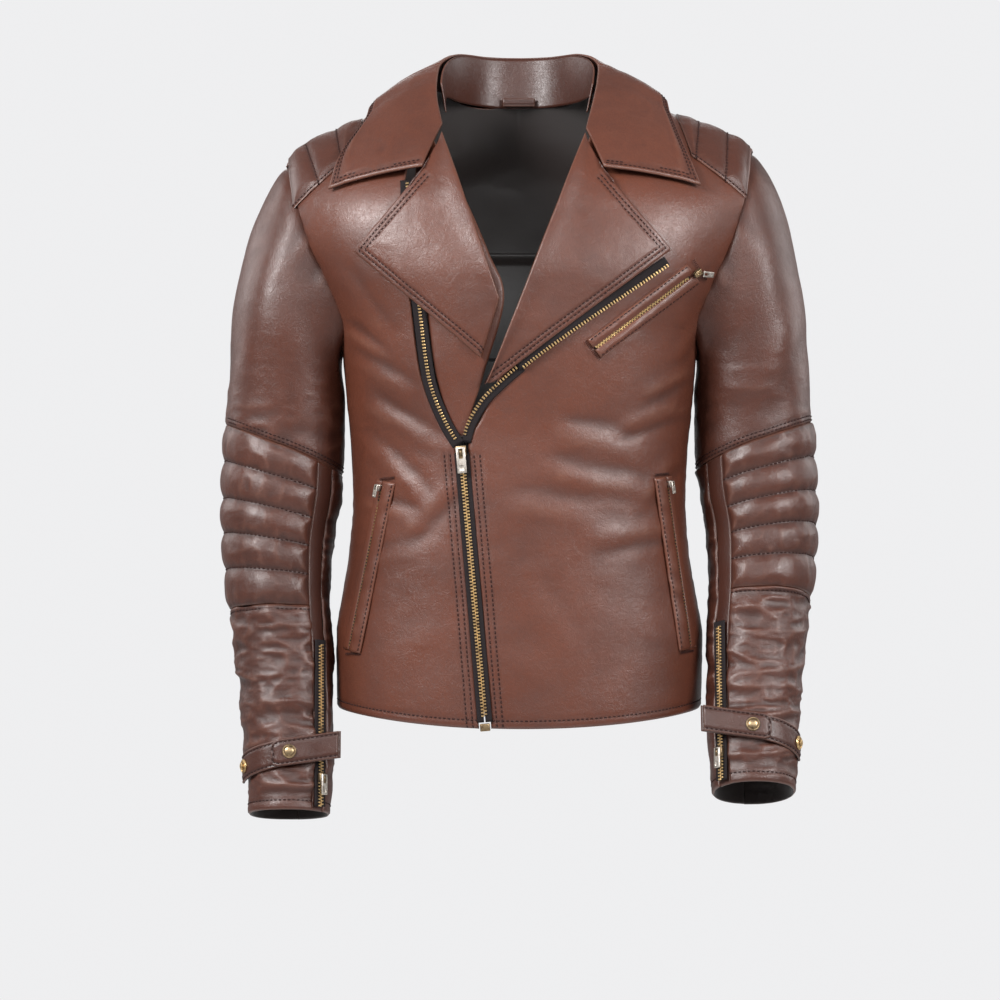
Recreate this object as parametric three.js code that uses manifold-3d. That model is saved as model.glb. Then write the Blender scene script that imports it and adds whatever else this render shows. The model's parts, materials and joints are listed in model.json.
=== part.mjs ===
// Leather riding jacket in its worn shape, an assembly of separate panels, zips, straps and snaps.
// Millimetres, +Z up. The front faces -Y, the wearer's left is +X.
// The origin is the hanger loop inside the back of the neck.
import * as THREE from 'three';
import { mergeVertices } from 'three/addons/utils/BufferGeometryUtils.js';
import Module from 'manifold-3d';

const wasm = await Module();
wasm.setup();

// ---------- driving dimensions ----------
const LEATHER = 2.4;            // outer leather with its interlining
const LINING = 1.2;
const LINING_GAP = 2.2;         // air between leather and lining
const SEAM = 0.5;               // each panel stops this far short of its seam line
const HEM_Z = -606;             // centre front hem
const HEM_RISE = 14;            // how much higher the hem is at the side seams
const HEM_HALF_WIDTH = 175;
const WAIST_HALF_WIDTH = 160;
const CHEST_HALF_WIDTH = 172;
const UNDERARM_Z = -243;
const SHOULDER_HALF_WIDTH = 228;
const NECK_HALF_WIDTH = 78;
const SLEEVE_END = 692;         // cuff, measured down from the hanger loop
const ELBOW = 345;              // elbow seam, measured down from the hanger loop
const ELBOW_SLANT = 24;         // the elbow seam is this much higher on its outer side
const QUILT_END = 500;          // lower edge of the quilted forearm
const CUFF_HALF_WIDTH = 39;
const ZIP_LEAF = 3.2;           // width of one row of zip teeth
const ZIP_SLOT = 1.8;           // clear channel between the two rows
const TAPE = 9;                 // visible width of one zip tape
const TAPE_THICK = 1.0;
const COLLAR_THICK = 3.0;
const LAPEL_LIFT = 3.6;         // underside of a lapel above the front panel
const LAPEL_THICK = 2.6;
const STRAP_WIDTH = 25;
const SNAP_RADIUS = 6.6;

// ---------- materials ----------
const finish = (color, roughness, metalness = 0) => () =>
  new THREE.MeshStandardMaterial({ color, roughness, metalness, side: THREE.FrontSide });
const leather = finish(0x7a4a3b, 0.42);
const darkLeather = finish(0x5c372e, 0.45);
const liningCloth = finish(0x2b2422, 0.7);
const zipTape = finish(0x463c3e, 0.85);
const brass = finish(0x9a7a45, 0.35, 0.9);
const nickel = finish(0xb9b4ac, 0.28, 0.95);

// ---------- small maths ----------
const lerp = (a, b, t) => a + (b - a) * t;
const clamp = (x, lo, hi) => Math.min(hi, Math.max(lo, x));
const RIGHT = -1;
const LEFT = 1;
const sideName = (side) => (side === RIGHT ? 'right' : 'left');

// a smooth curve through [position, value] stations, with no overshoot
function along(stations, at) {
  const s = [...stations].sort((p, q) => p[0] - q[0]);
  const rise = (i) => (s[i + 1][1] - s[i][1]) / (s[i + 1][0] - s[i][0]);
  const slope = (k) => {
    if (k === 0) return rise(0);
    if (k === s.length - 1) return rise(k - 1);
    const a = rise(k - 1);
    const b = rise(k);
    return a * b <= 0 ? 0 : (2 * a * b) / (a + b);
  };
  const last = s.length - 1;
  if (at <= s[0][0]) return s[0][1] + slope(0) * (at - s[0][0]);
  if (at >= s[last][0]) return s[last][1] + slope(last) * (at - s[last][0]);
  const i = s.findIndex((p, k) => k < last && at < s[k + 1][0]);
  const span = s[i + 1][0] - s[i][0];
  const t = (at - s[i][0]) / span;
  const blend = t * t * (3 - 2 * t);
  const pull = span * (slope(i) * t * (1 - t) ** 2 - slope(i + 1) * t * t * (1 - t));
  return lerp(s[i][1], s[i + 1][1], blend) + pull;
}

// ---------- the body form ----------
const SIDE_Y = -74;             // side seam
const SHOULDER_Y = -62;         // shoulder seam
const halfWidth = (z) => along([[HEM_Z - 8, HEM_HALF_WIDTH], [-525, HEM_HALF_WIDTH + 1], [-480, WAIST_HALF_WIDTH + 9],
  [-445, WAIST_HALF_WIDTH + 3.5], [-400, WAIST_HALF_WIDTH - 0.5], [-350, WAIST_HALF_WIDTH + 1],
  [-300, CHEST_HALF_WIDTH - 6], [-240, CHEST_HALF_WIDTH], [-190, CHEST_HALF_WIDTH + 25],
  [-118, SHOULDER_HALF_WIDTH + 8], [-67, SHOULDER_HALF_WIDTH + 34], [0, SHOULDER_HALF_WIDTH + 62],
  [50, SHOULDER_HALF_WIDTH + 82]], z);
const backY = (z) => along([[-614, 36], [-525, 30], [-430, 22], [-340, 30], [-240, 44], [-150, 52],
  [-80, 46], [-20, 30], [40, 10]], z);
const frontY = (z) => along([[-614, -196], [-525, -194.6], [-430, -193.3], [-340, -192.4], [-240, -203],
  [-190, -204], [-120, -190], [-60, -165], [0, -135], [40, -115]], z);
const RIDGE_Z = 38;
const RIDGE_SEAM = 0.004;       // the form is level at its ridge, so this opens the shoulder seam by 1 mm
const ridgeSlope = (side) => (side === RIGHT ? 0.42 : 0.385);
const ridgeDrop = (side) => (side === RIGHT ? 0.0085 : 0.004);
const SHOULDER_BEND_X = 190;
function ridge(x) {
  const side = x < 0 ? RIGHT : LEFT;
  const out = Math.max(0, Math.abs(x) - SHOULDER_BEND_X);
  return RIDGE_Z - ridgeSlope(side) * Math.abs(x) - ridgeDrop(side) * out * out;
}
const FRONT = { power: 2.35, round: 125, y: frontY };
const BACK = { power: 2.3, round: 100, y: backY };

// y of the body form at (x, z), on its front or back
function bodyY(face, x, z) {
  const f = Math.min(1, Math.abs(x) / halfWidth(z));
  const full = SIDE_Y + (face.y(z) - SIDE_Y) * (1 - f ** face.power) ** (1 / face.power);
  const t = clamp((ridge(x) - z) / face.round, 0, 1);
  return SHOULDER_Y + (full - SHOULDER_Y) * Math.sqrt(1 - (1 - t) ** 2);
}
// a panel's own coordinates: an angle across the body (sine = x over half width) and the height
const angleOf = (x, z) => Math.asin(clamp(x / halfWidth(z), -1, 1));
function onBody(face, angle, z) {
  const x = halfWidth(z) * Math.sin(angle);
  return new THREE.Vector3(x, bodyY(face, x, z), z);
}
function bodyNormal(face, angle, z) {
  const limit = Math.PI / 2 - 0.02;
  const a = clamp(angle, -limit, limit);
  const top = ridge(halfWidth(z) * Math.sin(a)) - 0.4;
  const h = Math.min(z, top);
  const across = onBody(face, a + 0.01, h).sub(onBody(face, a - 0.01, h));
  const up = onBody(face, a, Math.min(h + 1, top + 0.4)).sub(onBody(face, a, h - 1));
  const n = across.cross(up).normalize();
  const y = face === FRONT ? -1 : 1;
  if (n.y * y + n.z * 0.3 + n.x * Math.sin(a) * 0.5 < 0) n.negate();
  return n;
}
const lifted = (face, angle, z, lift) =>
  onBody(face, angle, z).addScaledVector(bodyNormal(face, angle, z), lift);
const onFront = (x, z, lift = 0) => lifted(FRONT, angleOf(x, z), z, lift);

// ---------- solids ----------
function solidVolume(geometry) {
  const p = geometry.attributes.position;
  const v = [0, 1, 2].map(() => new THREE.Vector3());
  let sum = 0;
  for (let i = 0; i < geometry.index.count; i += 3) {
    v.forEach((q, k) => q.fromBufferAttribute(p, geometry.index.getX(i + k)));
    sum += v[0].dot(v[1].clone().cross(v[2]));
  }
  return sum / 6;
}
function closed(points, faces) {
  const geometry = new THREE.BufferGeometry();
  geometry.setAttribute('position', new THREE.Float32BufferAttribute(points.flatMap((p) => [p.x, p.y, p.z]), 3));
  geometry.setIndex(faces);
  if (solidVolume(geometry) < 0) {
    const turned = [];
    for (let i = 0; i < faces.length; i += 3) turned.push(faces[i], faces[i + 2], faces[i + 1]);
    geometry.setIndex(turned);
  }
  return geometry;
}
// a sheet between two faces: at(u, v, 1) is its outer face and at(u, v, 0) its inner one
function sheet(at, across, up, ring = false) {
  const columns = ring ? across : across + 1;
  const points = [];
  const faces = [];
  for (const layer of [1, 0]) {
    for (let j = 0; j <= up; j += 1) {
      for (let i = 0; i < columns; i += 1) points.push(at(i / across, j / up, layer));
    }
  }
  const id = (i, j, layer) => (layer ? 0 : columns * (up + 1)) + j * columns + (i % columns);
  const quad = (a, b, c, d) => faces.push(a, b, c, a, c, d);
  for (let j = 0; j < up; j += 1) {
    for (let i = 0; i < across; i += 1) {
      quad(id(i, j, 1), id(i + 1, j, 1), id(i + 1, j + 1, 1), id(i, j + 1, 1));
      quad(id(i, j, 0), id(i, j + 1, 0), id(i + 1, j + 1, 0), id(i + 1, j, 0));
    }
    if (!ring) {
      quad(id(0, j, 1), id(0, j + 1, 1), id(0, j + 1, 0), id(0, j, 0));
      quad(id(across, j, 0), id(across, j + 1, 0), id(across, j + 1, 1), id(across, j, 1));
    }
  }
  for (let i = 0; i < across; i += 1) {
    quad(id(i, 0, 0), id(i + 1, 0, 0), id(i + 1, 0, 1), id(i, 0, 1));
    quad(id(i, up, 1), id(i + 1, up, 1), id(i + 1, up, 0), id(i, up, 0));
  }
  return closed(points, faces);
}
function toManifold(geometry) {
  const g = geometry.clone();
  g.deleteAttribute('normal');
  g.deleteAttribute('uv');
  const merged = mergeVertices(g, 1e-4);
  return new wasm.Manifold(new wasm.Mesh({
    numProp: 3,
    vertProperties: new Float32Array(merged.attributes.position.array),
    triVerts: new Uint32Array(merged.index.array),
  }));
}
function toGeometry(manifold) {
  const mesh = manifold.getMesh();
  const geometry = new THREE.BufferGeometry();
  geometry.setAttribute('position', new THREE.BufferAttribute(mesh.vertProperties, 3));
  geometry.setIndex(new THREE.BufferAttribute(mesh.triVerts, 1));
  return geometry;
}
const joined = (...parts) => toGeometry(parts.map(toManifold).reduce((a, b) => a.add(b)));
const cutFrom = (base, ...tools) =>
  toGeometry(tools.map(toManifold).reduce((a, b) => a.subtract(b), toManifold(base)));

const jacket = new THREE.Group();
function add(name, geometry, material, parent = jacket) {
  const mesh = new THREE.Mesh(geometry, material());
  mesh.name = name;
  parent.add(mesh);
  return mesh;
}

// ---------- curves in a panel's flat coordinates ----------
// points are [x, z] on the front elevation; t runs from the first to the last by length
function outline(points, smooth = true) {
  const flat = points.map(([x, z]) => new THREE.Vector3(x, 0, z));
  const curve = new THREE.CatmullRomCurve3(flat, false, 'centripetal');
  const path = new THREE.CurvePath();
  flat.slice(1).forEach((p, i) => path.add(new THREE.LineCurve3(flat[i], p)));
  const source = smooth && points.length > 2 ? curve : path;
  return (t) => {
    const p = source.getPointAt(clamp(t, 0, 1));
    return [p.x, p.z];
  };
}
// a surface patch between four outlines that meet at the corners
function patch(bottom, top, left, right) {
  return (u, v) => [0, 1].map((k) =>
    lerp(bottom(u)[k], top(u)[k], v) + lerp(left(v)[k], right(v)[k], u)
    - lerp(lerp(bottom(0)[k], bottom(1)[k], u), lerp(top(0)[k], top(1)[k], u), v));
}
// a sheet lying on the front of the body, between lifts low and high
function frontSheet(shape, low, high, across, up) {
  return sheet((u, v, layer) => {
    const [x, z] = shape(u, v);
    return onFront(x, z, layer ? high : low);
  }, across, up);
}
// an even band along a path on the front of the body
function band(path, from, to, low, high, steps, start = 0, end = 1) {
  return sheet((u, v, layer) => {
    const t = lerp(start, end, v);
    const a = path(clamp(t - 0.005, 0, 1));
    const b = path(clamp(t + 0.005, 0, 1));
    const length = Math.hypot(b[0] - a[0], b[1] - a[1]);
    const nx = (b[1] - a[1]) / length;
    const nz = -(b[0] - a[0]) / length;
    const off = lerp(from, to, u);
    const p = path(t);
    return onFront(p[0] + nx * off, p[1] + nz * off, layer ? high : low);
  }, 1, steps);
}

// ---------- key lines on the front ----------
const hemZ = (angle) => HEM_Z + HEM_RISE * Math.sin(angle) ** 2;
const hemBackZ = (angle) => HEM_Z + HEM_RISE * Math.sin(angle) ** 2;
const shoulderTip = (side) => [side * SHOULDER_HALF_WIDTH, ridge(side * SHOULDER_HALF_WIDTH)];
const neckPoint = (side) => [side * NECK_HALF_WIDTH, ridge(side * NECK_HALF_WIDTH)];
// front edge of the armhole, from the underarm up to the shoulder tip
const armholeFront = (side) => outline([
  [side * halfWidth(UNDERARM_Z), UNDERARM_Z],
  [side * (SHOULDER_HALF_WIDTH - 58), -222],
  [side * (SHOULDER_HALF_WIDTH - 44), -188],
  [side * (SHOULDER_HALF_WIDTH - 27), -150],
  [side * (SHOULDER_HALF_WIDTH - 14), -110],
  shoulderTip(side)]);
const armholeBack = (side) => outline([
  [side * halfWidth(UNDERARM_Z), UNDERARM_Z],
  [side * (SHOULDER_HALF_WIDTH - 52), -222],
  [side * (SHOULDER_HALF_WIDTH - 36), -188],
  [side * (SHOULDER_HALF_WIDTH - 21), -150],
  [side * (SHOULDER_HALF_WIDTH - 10), -110],
  shoulderTip(side)]);

const ZIP_TOP = [-54, -350];    // where the closed zip ends and the two chains part
const ZIP_BOTTOM = [-32.5, HEM_Z + 6];
const rightChainPath = outline([ZIP_TOP, [-70, -324], [-83, -293], [-89, -264], [-96, -206], [-105, -140], [-107, -96]]);
const leftChainPath = outline([ZIP_TOP, [-47, -324], [-37, -306], [-26, -293], [0, -270], [40, -240], [139, -170]]);
const closedPath = outline([ZIP_BOTTOM, ZIP_TOP]);

// ---------- torso panels ----------
// a panel in (angle, height) coordinates on one face of the body
function bodyPanel(face, shape, across, up, outer = 0, thick = LEATHER) {
  return sheet((u, v, layer) => {
    const [angle, z] = shape(u, v);
    return lifted(face, angle, z, layer ? outer : outer - thick);
  }, across, up);
}
const toAngle = (curve) => (t) => {
  const [x, z] = curve(t);
  return [angleOf(x, z), z];
};
const SIDE_ANGLE = Math.PI / 2 - 0.012;   // side seam, with its share of the seam gap
function sideEdge(side, face) {
  const armhole = face === FRONT ? armholeFront(side) : armholeBack(side);
  const share = 0.62;
  return (t) => {
    if (t < share) {
      const z = lerp(hemZ(Math.PI / 2), UNDERARM_Z, t / share);
      return [side * SIDE_ANGLE, z];
    }
    const [x, z] = armhole((t - share) / (1 - share));
    const angle = angleOf(x - side * SEAM, z);
    return [side * Math.min(Math.abs(angle), SIDE_ANGLE), Math.min(z, ridge(x) - RIDGE_SEAM)];
  };
}
const shoulderEdge = (side, from, to) => (t) => {
  const x = lerp(from, to, t);
  return [angleOf(x, ridge(x)), ridge(x) - RIDGE_SEAM];
};
const hemEdge = (from, to) => (t) => {
  const angle = lerp(from, to, t);
  return [angle, hemZ(angle)];
};
function frontPanel(side, edge) {
  const outerTip = side * (SHOULDER_HALF_WIDTH - SEAM);
  const shape = patch(hemEdge(edge(0)[0], side * SIDE_ANGLE),
    shoulderEdge(side, side * NECK_HALF_WIDTH, outerTip), edge, sideEdge(side, FRONT));
  return bodyPanel(FRONT, shape, 11, 18);
}
// the right front panel ends along the zip's right-hand tape
const RIGHT_EDGE = ZIP_SLOT / 2 + ZIP_LEAF + 1.5;
const rightFrontEdge = toAngle(outline([[-32.5 - RIGHT_EDGE, HEM_Z + 1], [-43 - RIGHT_EDGE, -475], [-54 - RIGHT_EDGE, -350],
  [-70 - RIGHT_EDGE, -322], [-83 - RIGHT_EDGE, -291], [-90 - RIGHT_EDGE, -262], [-97 - RIGHT_EDGE, -206],
  [-106 - RIGHT_EDGE, -140], [-101, -60], neckPoint(RIGHT)]));
add('right_front_panel', frontPanel(RIGHT, rightFrontEdge), leather);
// the left front panel runs under its lapel to the roll line
const leftFrontEdge = toAngle(outline([[-32.5 + RIGHT_EDGE, HEM_Z + 1], [-43 + RIGHT_EDGE, -475], [-54 + RIGHT_EDGE, -352],
  [-36, -316], [-20, -280], [2, -205], [27, -140], [50, -88], [66, -50], neckPoint(LEFT)]));
add('left_front_panel', frontPanel(LEFT, leftFrontEdge), leather);
// the underlap fills the right front between the zip and the roll line
const underlapShape = (u, v) => {
  const left = outline([[-58, -336], [-70, -310], [-76, -290], [-82, -262], [-89, -206], [-98, -140], [-98, -60]])(v);
  const right = outline([[-50, -334], [-43, -306], [-33, -275], [-15, -208], [-29, -165], [-56, -102], [-82, -52]])(v);
  return [lerp(left[0], right[0], u), lerp(left[1], right[1], u)];
};
add('right_underlap', frontSheet(underlapShape, -LEATHER, 0, 4, 12), leather);

// back: a lower panel and a yoke across the shoulder blades
const YOKE_Z = -150;
const BACK_ARMHOLE_GAP = 3;
const backShape = (from, to, low, high) => (u, v) => {
  const z0 = (angle) => (low === null ? hemBackZ(angle) : low);
  const a = lerp(-1, 1, u);
  const z = lerp(z0(a * SIDE_ANGLE), high, v);
  let limit = SIDE_ANGLE;
  if (z > UNDERARM_Z) {
    const t = clamp((z - UNDERARM_Z) / (shoulderTip(a < 0 ? RIGHT : LEFT)[1] - UNDERARM_Z), 0, 1);
    const x = along([[-243, halfWidth(UNDERARM_Z)], [-222, SHOULDER_HALF_WIDTH - 52], [-188, SHOULDER_HALF_WIDTH - 36],
      [-150, SHOULDER_HALF_WIDTH - 21], [-110, SHOULDER_HALF_WIDTH - 10], [-58, SHOULDER_HALF_WIDTH]], z);
    limit = t === 0 ? SIDE_ANGLE : Math.min(SIDE_ANGLE, angleOf(x - BACK_ARMHOLE_GAP, z));
  }
  return [a * limit, z];
};
add('back_panel', bodyPanel(BACK, backShape(0, 0, null, YOKE_Z - SEAM), 14, 12), leather);
const yokeShape = (u, v) => {
  const a = lerp(-1, 1, u);
  const [bottomAngle] = backShape(0, 0, YOKE_Z, YOKE_Z)(u, 1);
  const side = a < 0 ? RIGHT : LEFT;
  const topX = a * (SHOULDER_HALF_WIDTH - SEAM);
  const neck = 1 - clamp(Math.abs(topX) / NECK_HALF_WIDTH, 0, 1) ** 2;
  const topZ = ridge(topX) - RIDGE_SEAM - neck * (RIDGE_Z - 2);
  const z = lerp(YOKE_Z + SEAM, topZ, v);
  const x = lerp(halfWidth(YOKE_Z) * Math.sin(bottomAngle), topX, v);
  return [angleOf(x, z), z];
};
add('back_yoke', bodyPanel(BACK, yokeShape, 14, 7), leather);

// quilted shoulder panels lie on the shoulder, over the front panel
function shoulderQuilt(side) {
  const tip = SHOULDER_HALF_WIDTH - 6;
  const dip = side === RIGHT ? 0 : 10;
  const shape = (u, v) => {
    const bottom = outline([[side * 162, -72 + dip * 0.3], [side * (tip - 8), -118 + dip]])(u);
    const topX = side * lerp(150, tip, u);
    const top = [topX, ridge(topX) - 2.5];
    return [lerp(bottom[0], top[0], v), lerp(bottom[1], top[1], v)];
  };
  return frontSheet(shape, 1.4, 3.8, 7, 7);
}
for (const side of [RIGHT, LEFT]) add(`${sideName(side)}_shoulder_quilt`, shoulderQuilt(side), leather);

// lining: a thin inner skin that follows the panels
const liningShape = (u, v) => {
  const a = lerp(-1, 1, u) * (SIDE_ANGLE - 0.02);
  return [a, lerp(hemBackZ(a) + 12, -252, v)];
};
const liningOuter = -LEATHER - LINING_GAP;
add('back_lining', bodyPanel(BACK, (u, v) => {
  const [a, z] = liningShape(u, v);
  return [a, z];
}, 12, 8, liningOuter, LINING), liningCloth);
for (const side of [RIGHT, LEFT]) {
  const inner = side === RIGHT ? -78 : 10;
  const shape = (u, v) => {
    const start = angleOf(inner, -430);
    const a = lerp(start, side * (SIDE_ANGLE - 0.02), u);
    return [a, lerp(hemZ(a) + 12, -252, v)];
  };
  add(`${sideName(side)}_front_lining`, bodyPanel(FRONT, shape, 7, 8, liningOuter, LINING), liningCloth);
}

// ---------- collar ----------
// the roll line runs from the left gorge round the back of the neck to the right gorge
const rollLine = new THREE.CatmullRomCurve3([
  [62, -150, -44], [68, -126, -20], [74, -92, 8], [75, -56, 32], [60, -22, 45], [32, 4, 46], [0, 12, 46],
  [-32, 4, 46], [-60, -22, 45], [-75, -56, 32], [-79, -92, 9], [-78, -114, -13], [-73, -140, -38],
].map((p) => new THREE.Vector3(...p)), false, 'centripetal');
const COLLAR_LIFT = 7.6;
const backOuter = (x) => {
  const z = -30 - 10 * (Math.abs(x) / 120);
  return lifted(BACK, angleOf(x, z), z, COLLAR_LIFT);
};
const overShoulder = (x, drop) => {
  const z = ridge(x) - drop;
  return lifted(FRONT, angleOf(x, z), z, COLLAR_LIFT);
};
const outerEdge = new THREE.CatmullRomCurve3([
  onFront(167, -101, COLLAR_LIFT), onFront(155, -67, COLLAR_LIFT), overShoulder(143, 14), overShoulder(136, 0.5),
  backOuter(104), backOuter(56), backOuter(0), backOuter(-56), backOuter(-104),
  overShoulder(-138, 0.5), overShoulder(-147, 14), onFront(-168, -72, COLLAR_LIFT), onFront(-177, -104, COLLAR_LIFT),
], false, 'centripetal');
// a slice of the collar: t runs round the neck, v from the roll line to the outer edge
function collarSheet(t0, t1, across) {
  const point = (t, v) => {
    const a = rollLine.getPoint(t);
    const b = outerEdge.getPoint(t);
    const mid = a.clone().lerp(b, 0.45);
    const out = new THREE.Vector3(mid.x * 0.25, (mid.y + 60) * 0.25, 30).normalize();
    mid.addScaledVector(out, 9);
    return new THREE.QuadraticBezierCurve3(a, mid, b).getPoint(v);
  };
  return sheet((u, v, layer) => {
    const t = lerp(t0, t1, u);
    const p = point(t, v);
    const e = 0.004;
    const du = point(Math.min(1, t + e), v).sub(point(Math.max(0, t - e), v));
    const dv = point(t, Math.min(1, v + e)).sub(point(t, Math.max(0, v - e)));
    const n = du.cross(dv).normalize();
    if (n.z < 0) n.negate();
    return p.addScaledVector(n, layer ? COLLAR_THICK / 2 : -COLLAR_THICK / 2);
  }, across, 4);
}
const WING_SHARE = 0.235;       // each wing's part of the collar's length
const WING_GAP = 0.0012;
add('collar_fall', collarSheet(WING_SHARE + WING_GAP, 1 - WING_SHARE - WING_GAP, 16), leather);
add('left_collar_wing', collarSheet(0, WING_SHARE - WING_GAP, 7), leather);
add('right_collar_wing', collarSheet(1 - WING_SHARE + WING_GAP, 1, 7), leather);
// the stand rises from the neck seam inside the fall
const standBottom = new THREE.CatmullRomCurve3([
  [66, -92, -14], [70, -62, 4], [58, -28, 4], [32, -2, 3], [0, 5.5, 2], [-32, -2, 3], [-58, -28, 4],
  [-72, -62, 4], [-72, -92, -14],
].map((p) => new THREE.Vector3(...p)), false, 'centripetal');
const standTop = new THREE.CatmullRomCurve3([
  [65, -90, 2], [66, -60, 24], [54, -28, 37], [29, -3, 38], [0, 6, 38], [-29, -3, 38], [-54, -28, 37],
  [-67, -60, 24], [-70, -90, 2],
].map((p) => new THREE.Vector3(...p)), false, 'centripetal');
add('collar_stand', sheet((u, v, layer) => {
  const p = standBottom.getPoint(u).lerp(standTop.getPoint(u), v);
  const inward = new THREE.Vector3(-p.x, -60 - p.y, 0).normalize();
  return p.addScaledVector(inward, layer ? 0 : 2);
}, 16, 2), leather);
// hanger loop: a flat tab under the collar, its face square to the back
const loop = new THREE.BoxGeometry(32, 2, 8);
loop.translate(0, -1.8, 0);
add('hanger_loop', loop, darkLeather);

// ---------- lapels ----------
function lapelShape(points) {
  const [gorgeIn, gorgeOut, tip, lowEnd, rollEnd] = points;
  const bottom = outline([rollEnd, lowEnd]);
  const top = outline([gorgeIn, gorgeOut]);
  const roll = outline([rollEnd, gorgeIn]);
  const outer = outline([lowEnd, tip, gorgeOut], false);
  return patch(bottom, top, roll, outer);
}
const leftLapelShape = lapelShape([[60, -54], [77, -91], [139, -161], [-24, -284], [-31, -286]]);
const rightLapelShape = lapelShape([[-72, -52], [-90, -90], [-153, -162], [-38, -252], [-21, -206]]);
const lapel = (shape) => frontSheet(shape, LAPEL_LIFT, LAPEL_LIFT + LAPEL_THICK, 6, 10);
add('right_lapel', lapel(rightLapelShape), leather);
add('left_lapel', lapel(leftLapelShape), leather);

// ---------- main zip ----------
// one side of a zip: a flat tape and the solid row of teeth along its edge
function zipSide(path, hand, steps, start, end, base = 0.6) {
  const inner = hand * ZIP_SLOT / 2;
  const tape = band(path, inner + hand * 0.6, inner + hand * TAPE, base, base + TAPE_THICK, steps, start, end);
  const teeth = band(path, inner, inner + hand * ZIP_LEAF, base - 0.3, base + 2.2, steps, start, end);
  return joined(tape, teeth);
}
add('right_zip_chain_closed', zipSide(closedPath, -1, 8, 0.012, 0.994), zipTape);
add('left_zip_chain_closed', zipSide(closedPath, 1, 8, 0.012, 0.994), zipTape);
add('right_zip_chain_open', band(rightChainPath, -3, 2.5, 0.6, 2.6, 12, 0.06, 1), zipTape);
add('left_zip_chain_open', band(leftChainPath, -1, 4.5, 0.6, 2.6, 14, 0.07, 0.34), zipTape);
add('left_lapel_zip_chain', band(leftChainPath, 6.5, 12, LAPEL_LIFT - 1, LAPEL_LIFT + 2, 10, 0.42, 0.985), zipTape);

// a block with its own frame on a surface: x across, y along the zip upward, z outward
function frameAt(origin, outward, alongDir) {
  const z = outward.clone().normalize();
  const y = alongDir.clone().addScaledVector(z, -alongDir.dot(z)).normalize();
  const x = y.clone().cross(z);
  const group = new THREE.Group();
  const m = new THREE.Matrix4().makeBasis(x, y, z);
  group.quaternion.setFromRotationMatrix(m);
  group.position.copy(origin);
  jacket.add(group);
  return group;
}
const box = (w, h, d, x = 0, y = 0, z = 0) => new THREE.BoxGeometry(w, h, d).translate(x, y, z);
const disc = (r, h, z = 0, sides = 20) =>
  new THREE.CylinderGeometry(r, r, h, sides).rotateX(Math.PI / 2).translate(0, 0, z);

const CHAIN_TOP = 2.8;          // top of the teeth above the panel
// slider: an upper plate over the teeth, carried by a post that runs in the slot
function sliderGeometry(k) {
  const post = box(ZIP_SLOT - 1, 5 * k, 3, 0, 2 * k, CHAIN_TOP - 0.9);
  const plate = box(9 * k, 11 * k, 1.6, 0, 0, CHAIN_TOP + 1.1);
  const lug = box(2.4 * k, 6 * k, 2.6, 0, 0, CHAIN_TOP + 3);
  return joined(post, plate, lug);
}
// pull tab hanging from the slider's lug, with the window that the lug shows through
function pullGeometry(k) {
  const plate = box(8.6 * k, 24 * k, 1.5, 0, -9.5 * k, 0);
  const window = box(3.6 * k, 10 * k, 4, 0, -3.4 * k, 0);
  return cutFrom(plate, window);
}
const PULL_HEIGHT = CHAIN_TOP + 3.1;
function slider(name, group, k, pullTurn = 0) {
  add(`${name}_slider`, sliderGeometry(k), brass, group);
  const turned = new THREE.Group();
  turned.position.set(0, 0, PULL_HEIGHT);
  turned.rotation.z = pullTurn;
  group.add(turned);
  return turned;
}
const onFrontFrame = (x, z, dx, dz, lift = 0) => {
  const p = onFront(x, z, lift);
  const q = onFront(x + dx, z + dz, lift);
  return frameAt(p, bodyNormal(FRONT, angleOf(x, z), z), q.sub(p));
};
// a slider's frame: its y axis runs straight up the zip, so the slider can slide along it
function zipFrame(top, bottom, lift = 0, endLift = lift) {
  const p = onFront(top[0], top[1], lift);
  const q = onFront(bottom[0], bottom[1], endLift);
  const up = p.clone().sub(q).normalize();
  const outward = bodyNormal(FRONT, angleOf(top[0], top[1]), top[1]);
  outward.addScaledVector(up, -outward.dot(up));
  return frameAt(p, outward, up);
}
const main = zipFrame(ZIP_TOP, ZIP_BOTTOM, 0.2, 0.6);
slider('main', main, 1);
const mainPull = pullGeometry(1).translate(0, 2.5, PULL_HEIGHT + 0.2);
add('main_pull', mainPull, nickel, main);
const boxFrame = onFrontFrame(ZIP_BOTTOM[0], ZIP_BOTTOM[1] - 1, -2.15, 25);
add('zip_retainer_box', box(8.4, 6.6, 3.4, 0, -2.6, 2.2), brass, boxFrame);

// ---------- chest pocket ----------
const POCKET_LOW = [68, -254];
const POCKET_HIGH = [161, -182];
const chestPath = outline([POCKET_LOW, POCKET_HIGH]);
add('chest_pocket_upper_welt', band(chestPath, -11, -3.4, 1.2, 3.4, 8), leather);
add('chest_pocket_lower_welt', band(chestPath, 3.4, 11, 1.2, 3.4, 8), leather);
add('chest_pocket_zip', band(chestPath, -3, 3, 1.2, 2.2, 8, 0.01, 0.93), zipTape);
const CHEST_SEAT = [163, -180.5];
const CHEST_SEAT_LIFT = 2.7;
const CHEST_RUN_RISE = 4.7;     // the chest bows out, so the slider's straight run aims a little high
const chest = zipFrame(CHEST_SEAT, chestPath(0.45), CHEST_SEAT_LIFT, CHEST_RUN_RISE);
slider('chest_pocket', chest, 0.62);
const chestPullFrame = onFrontFrame(...CHEST_SEAT, -20, 0, CHEST_SEAT_LIFT);
add('chest_pocket_pull', pullGeometry(0.62).translate(0, -6, PULL_HEIGHT - 0.6), nickel, chestPullFrame);

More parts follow.
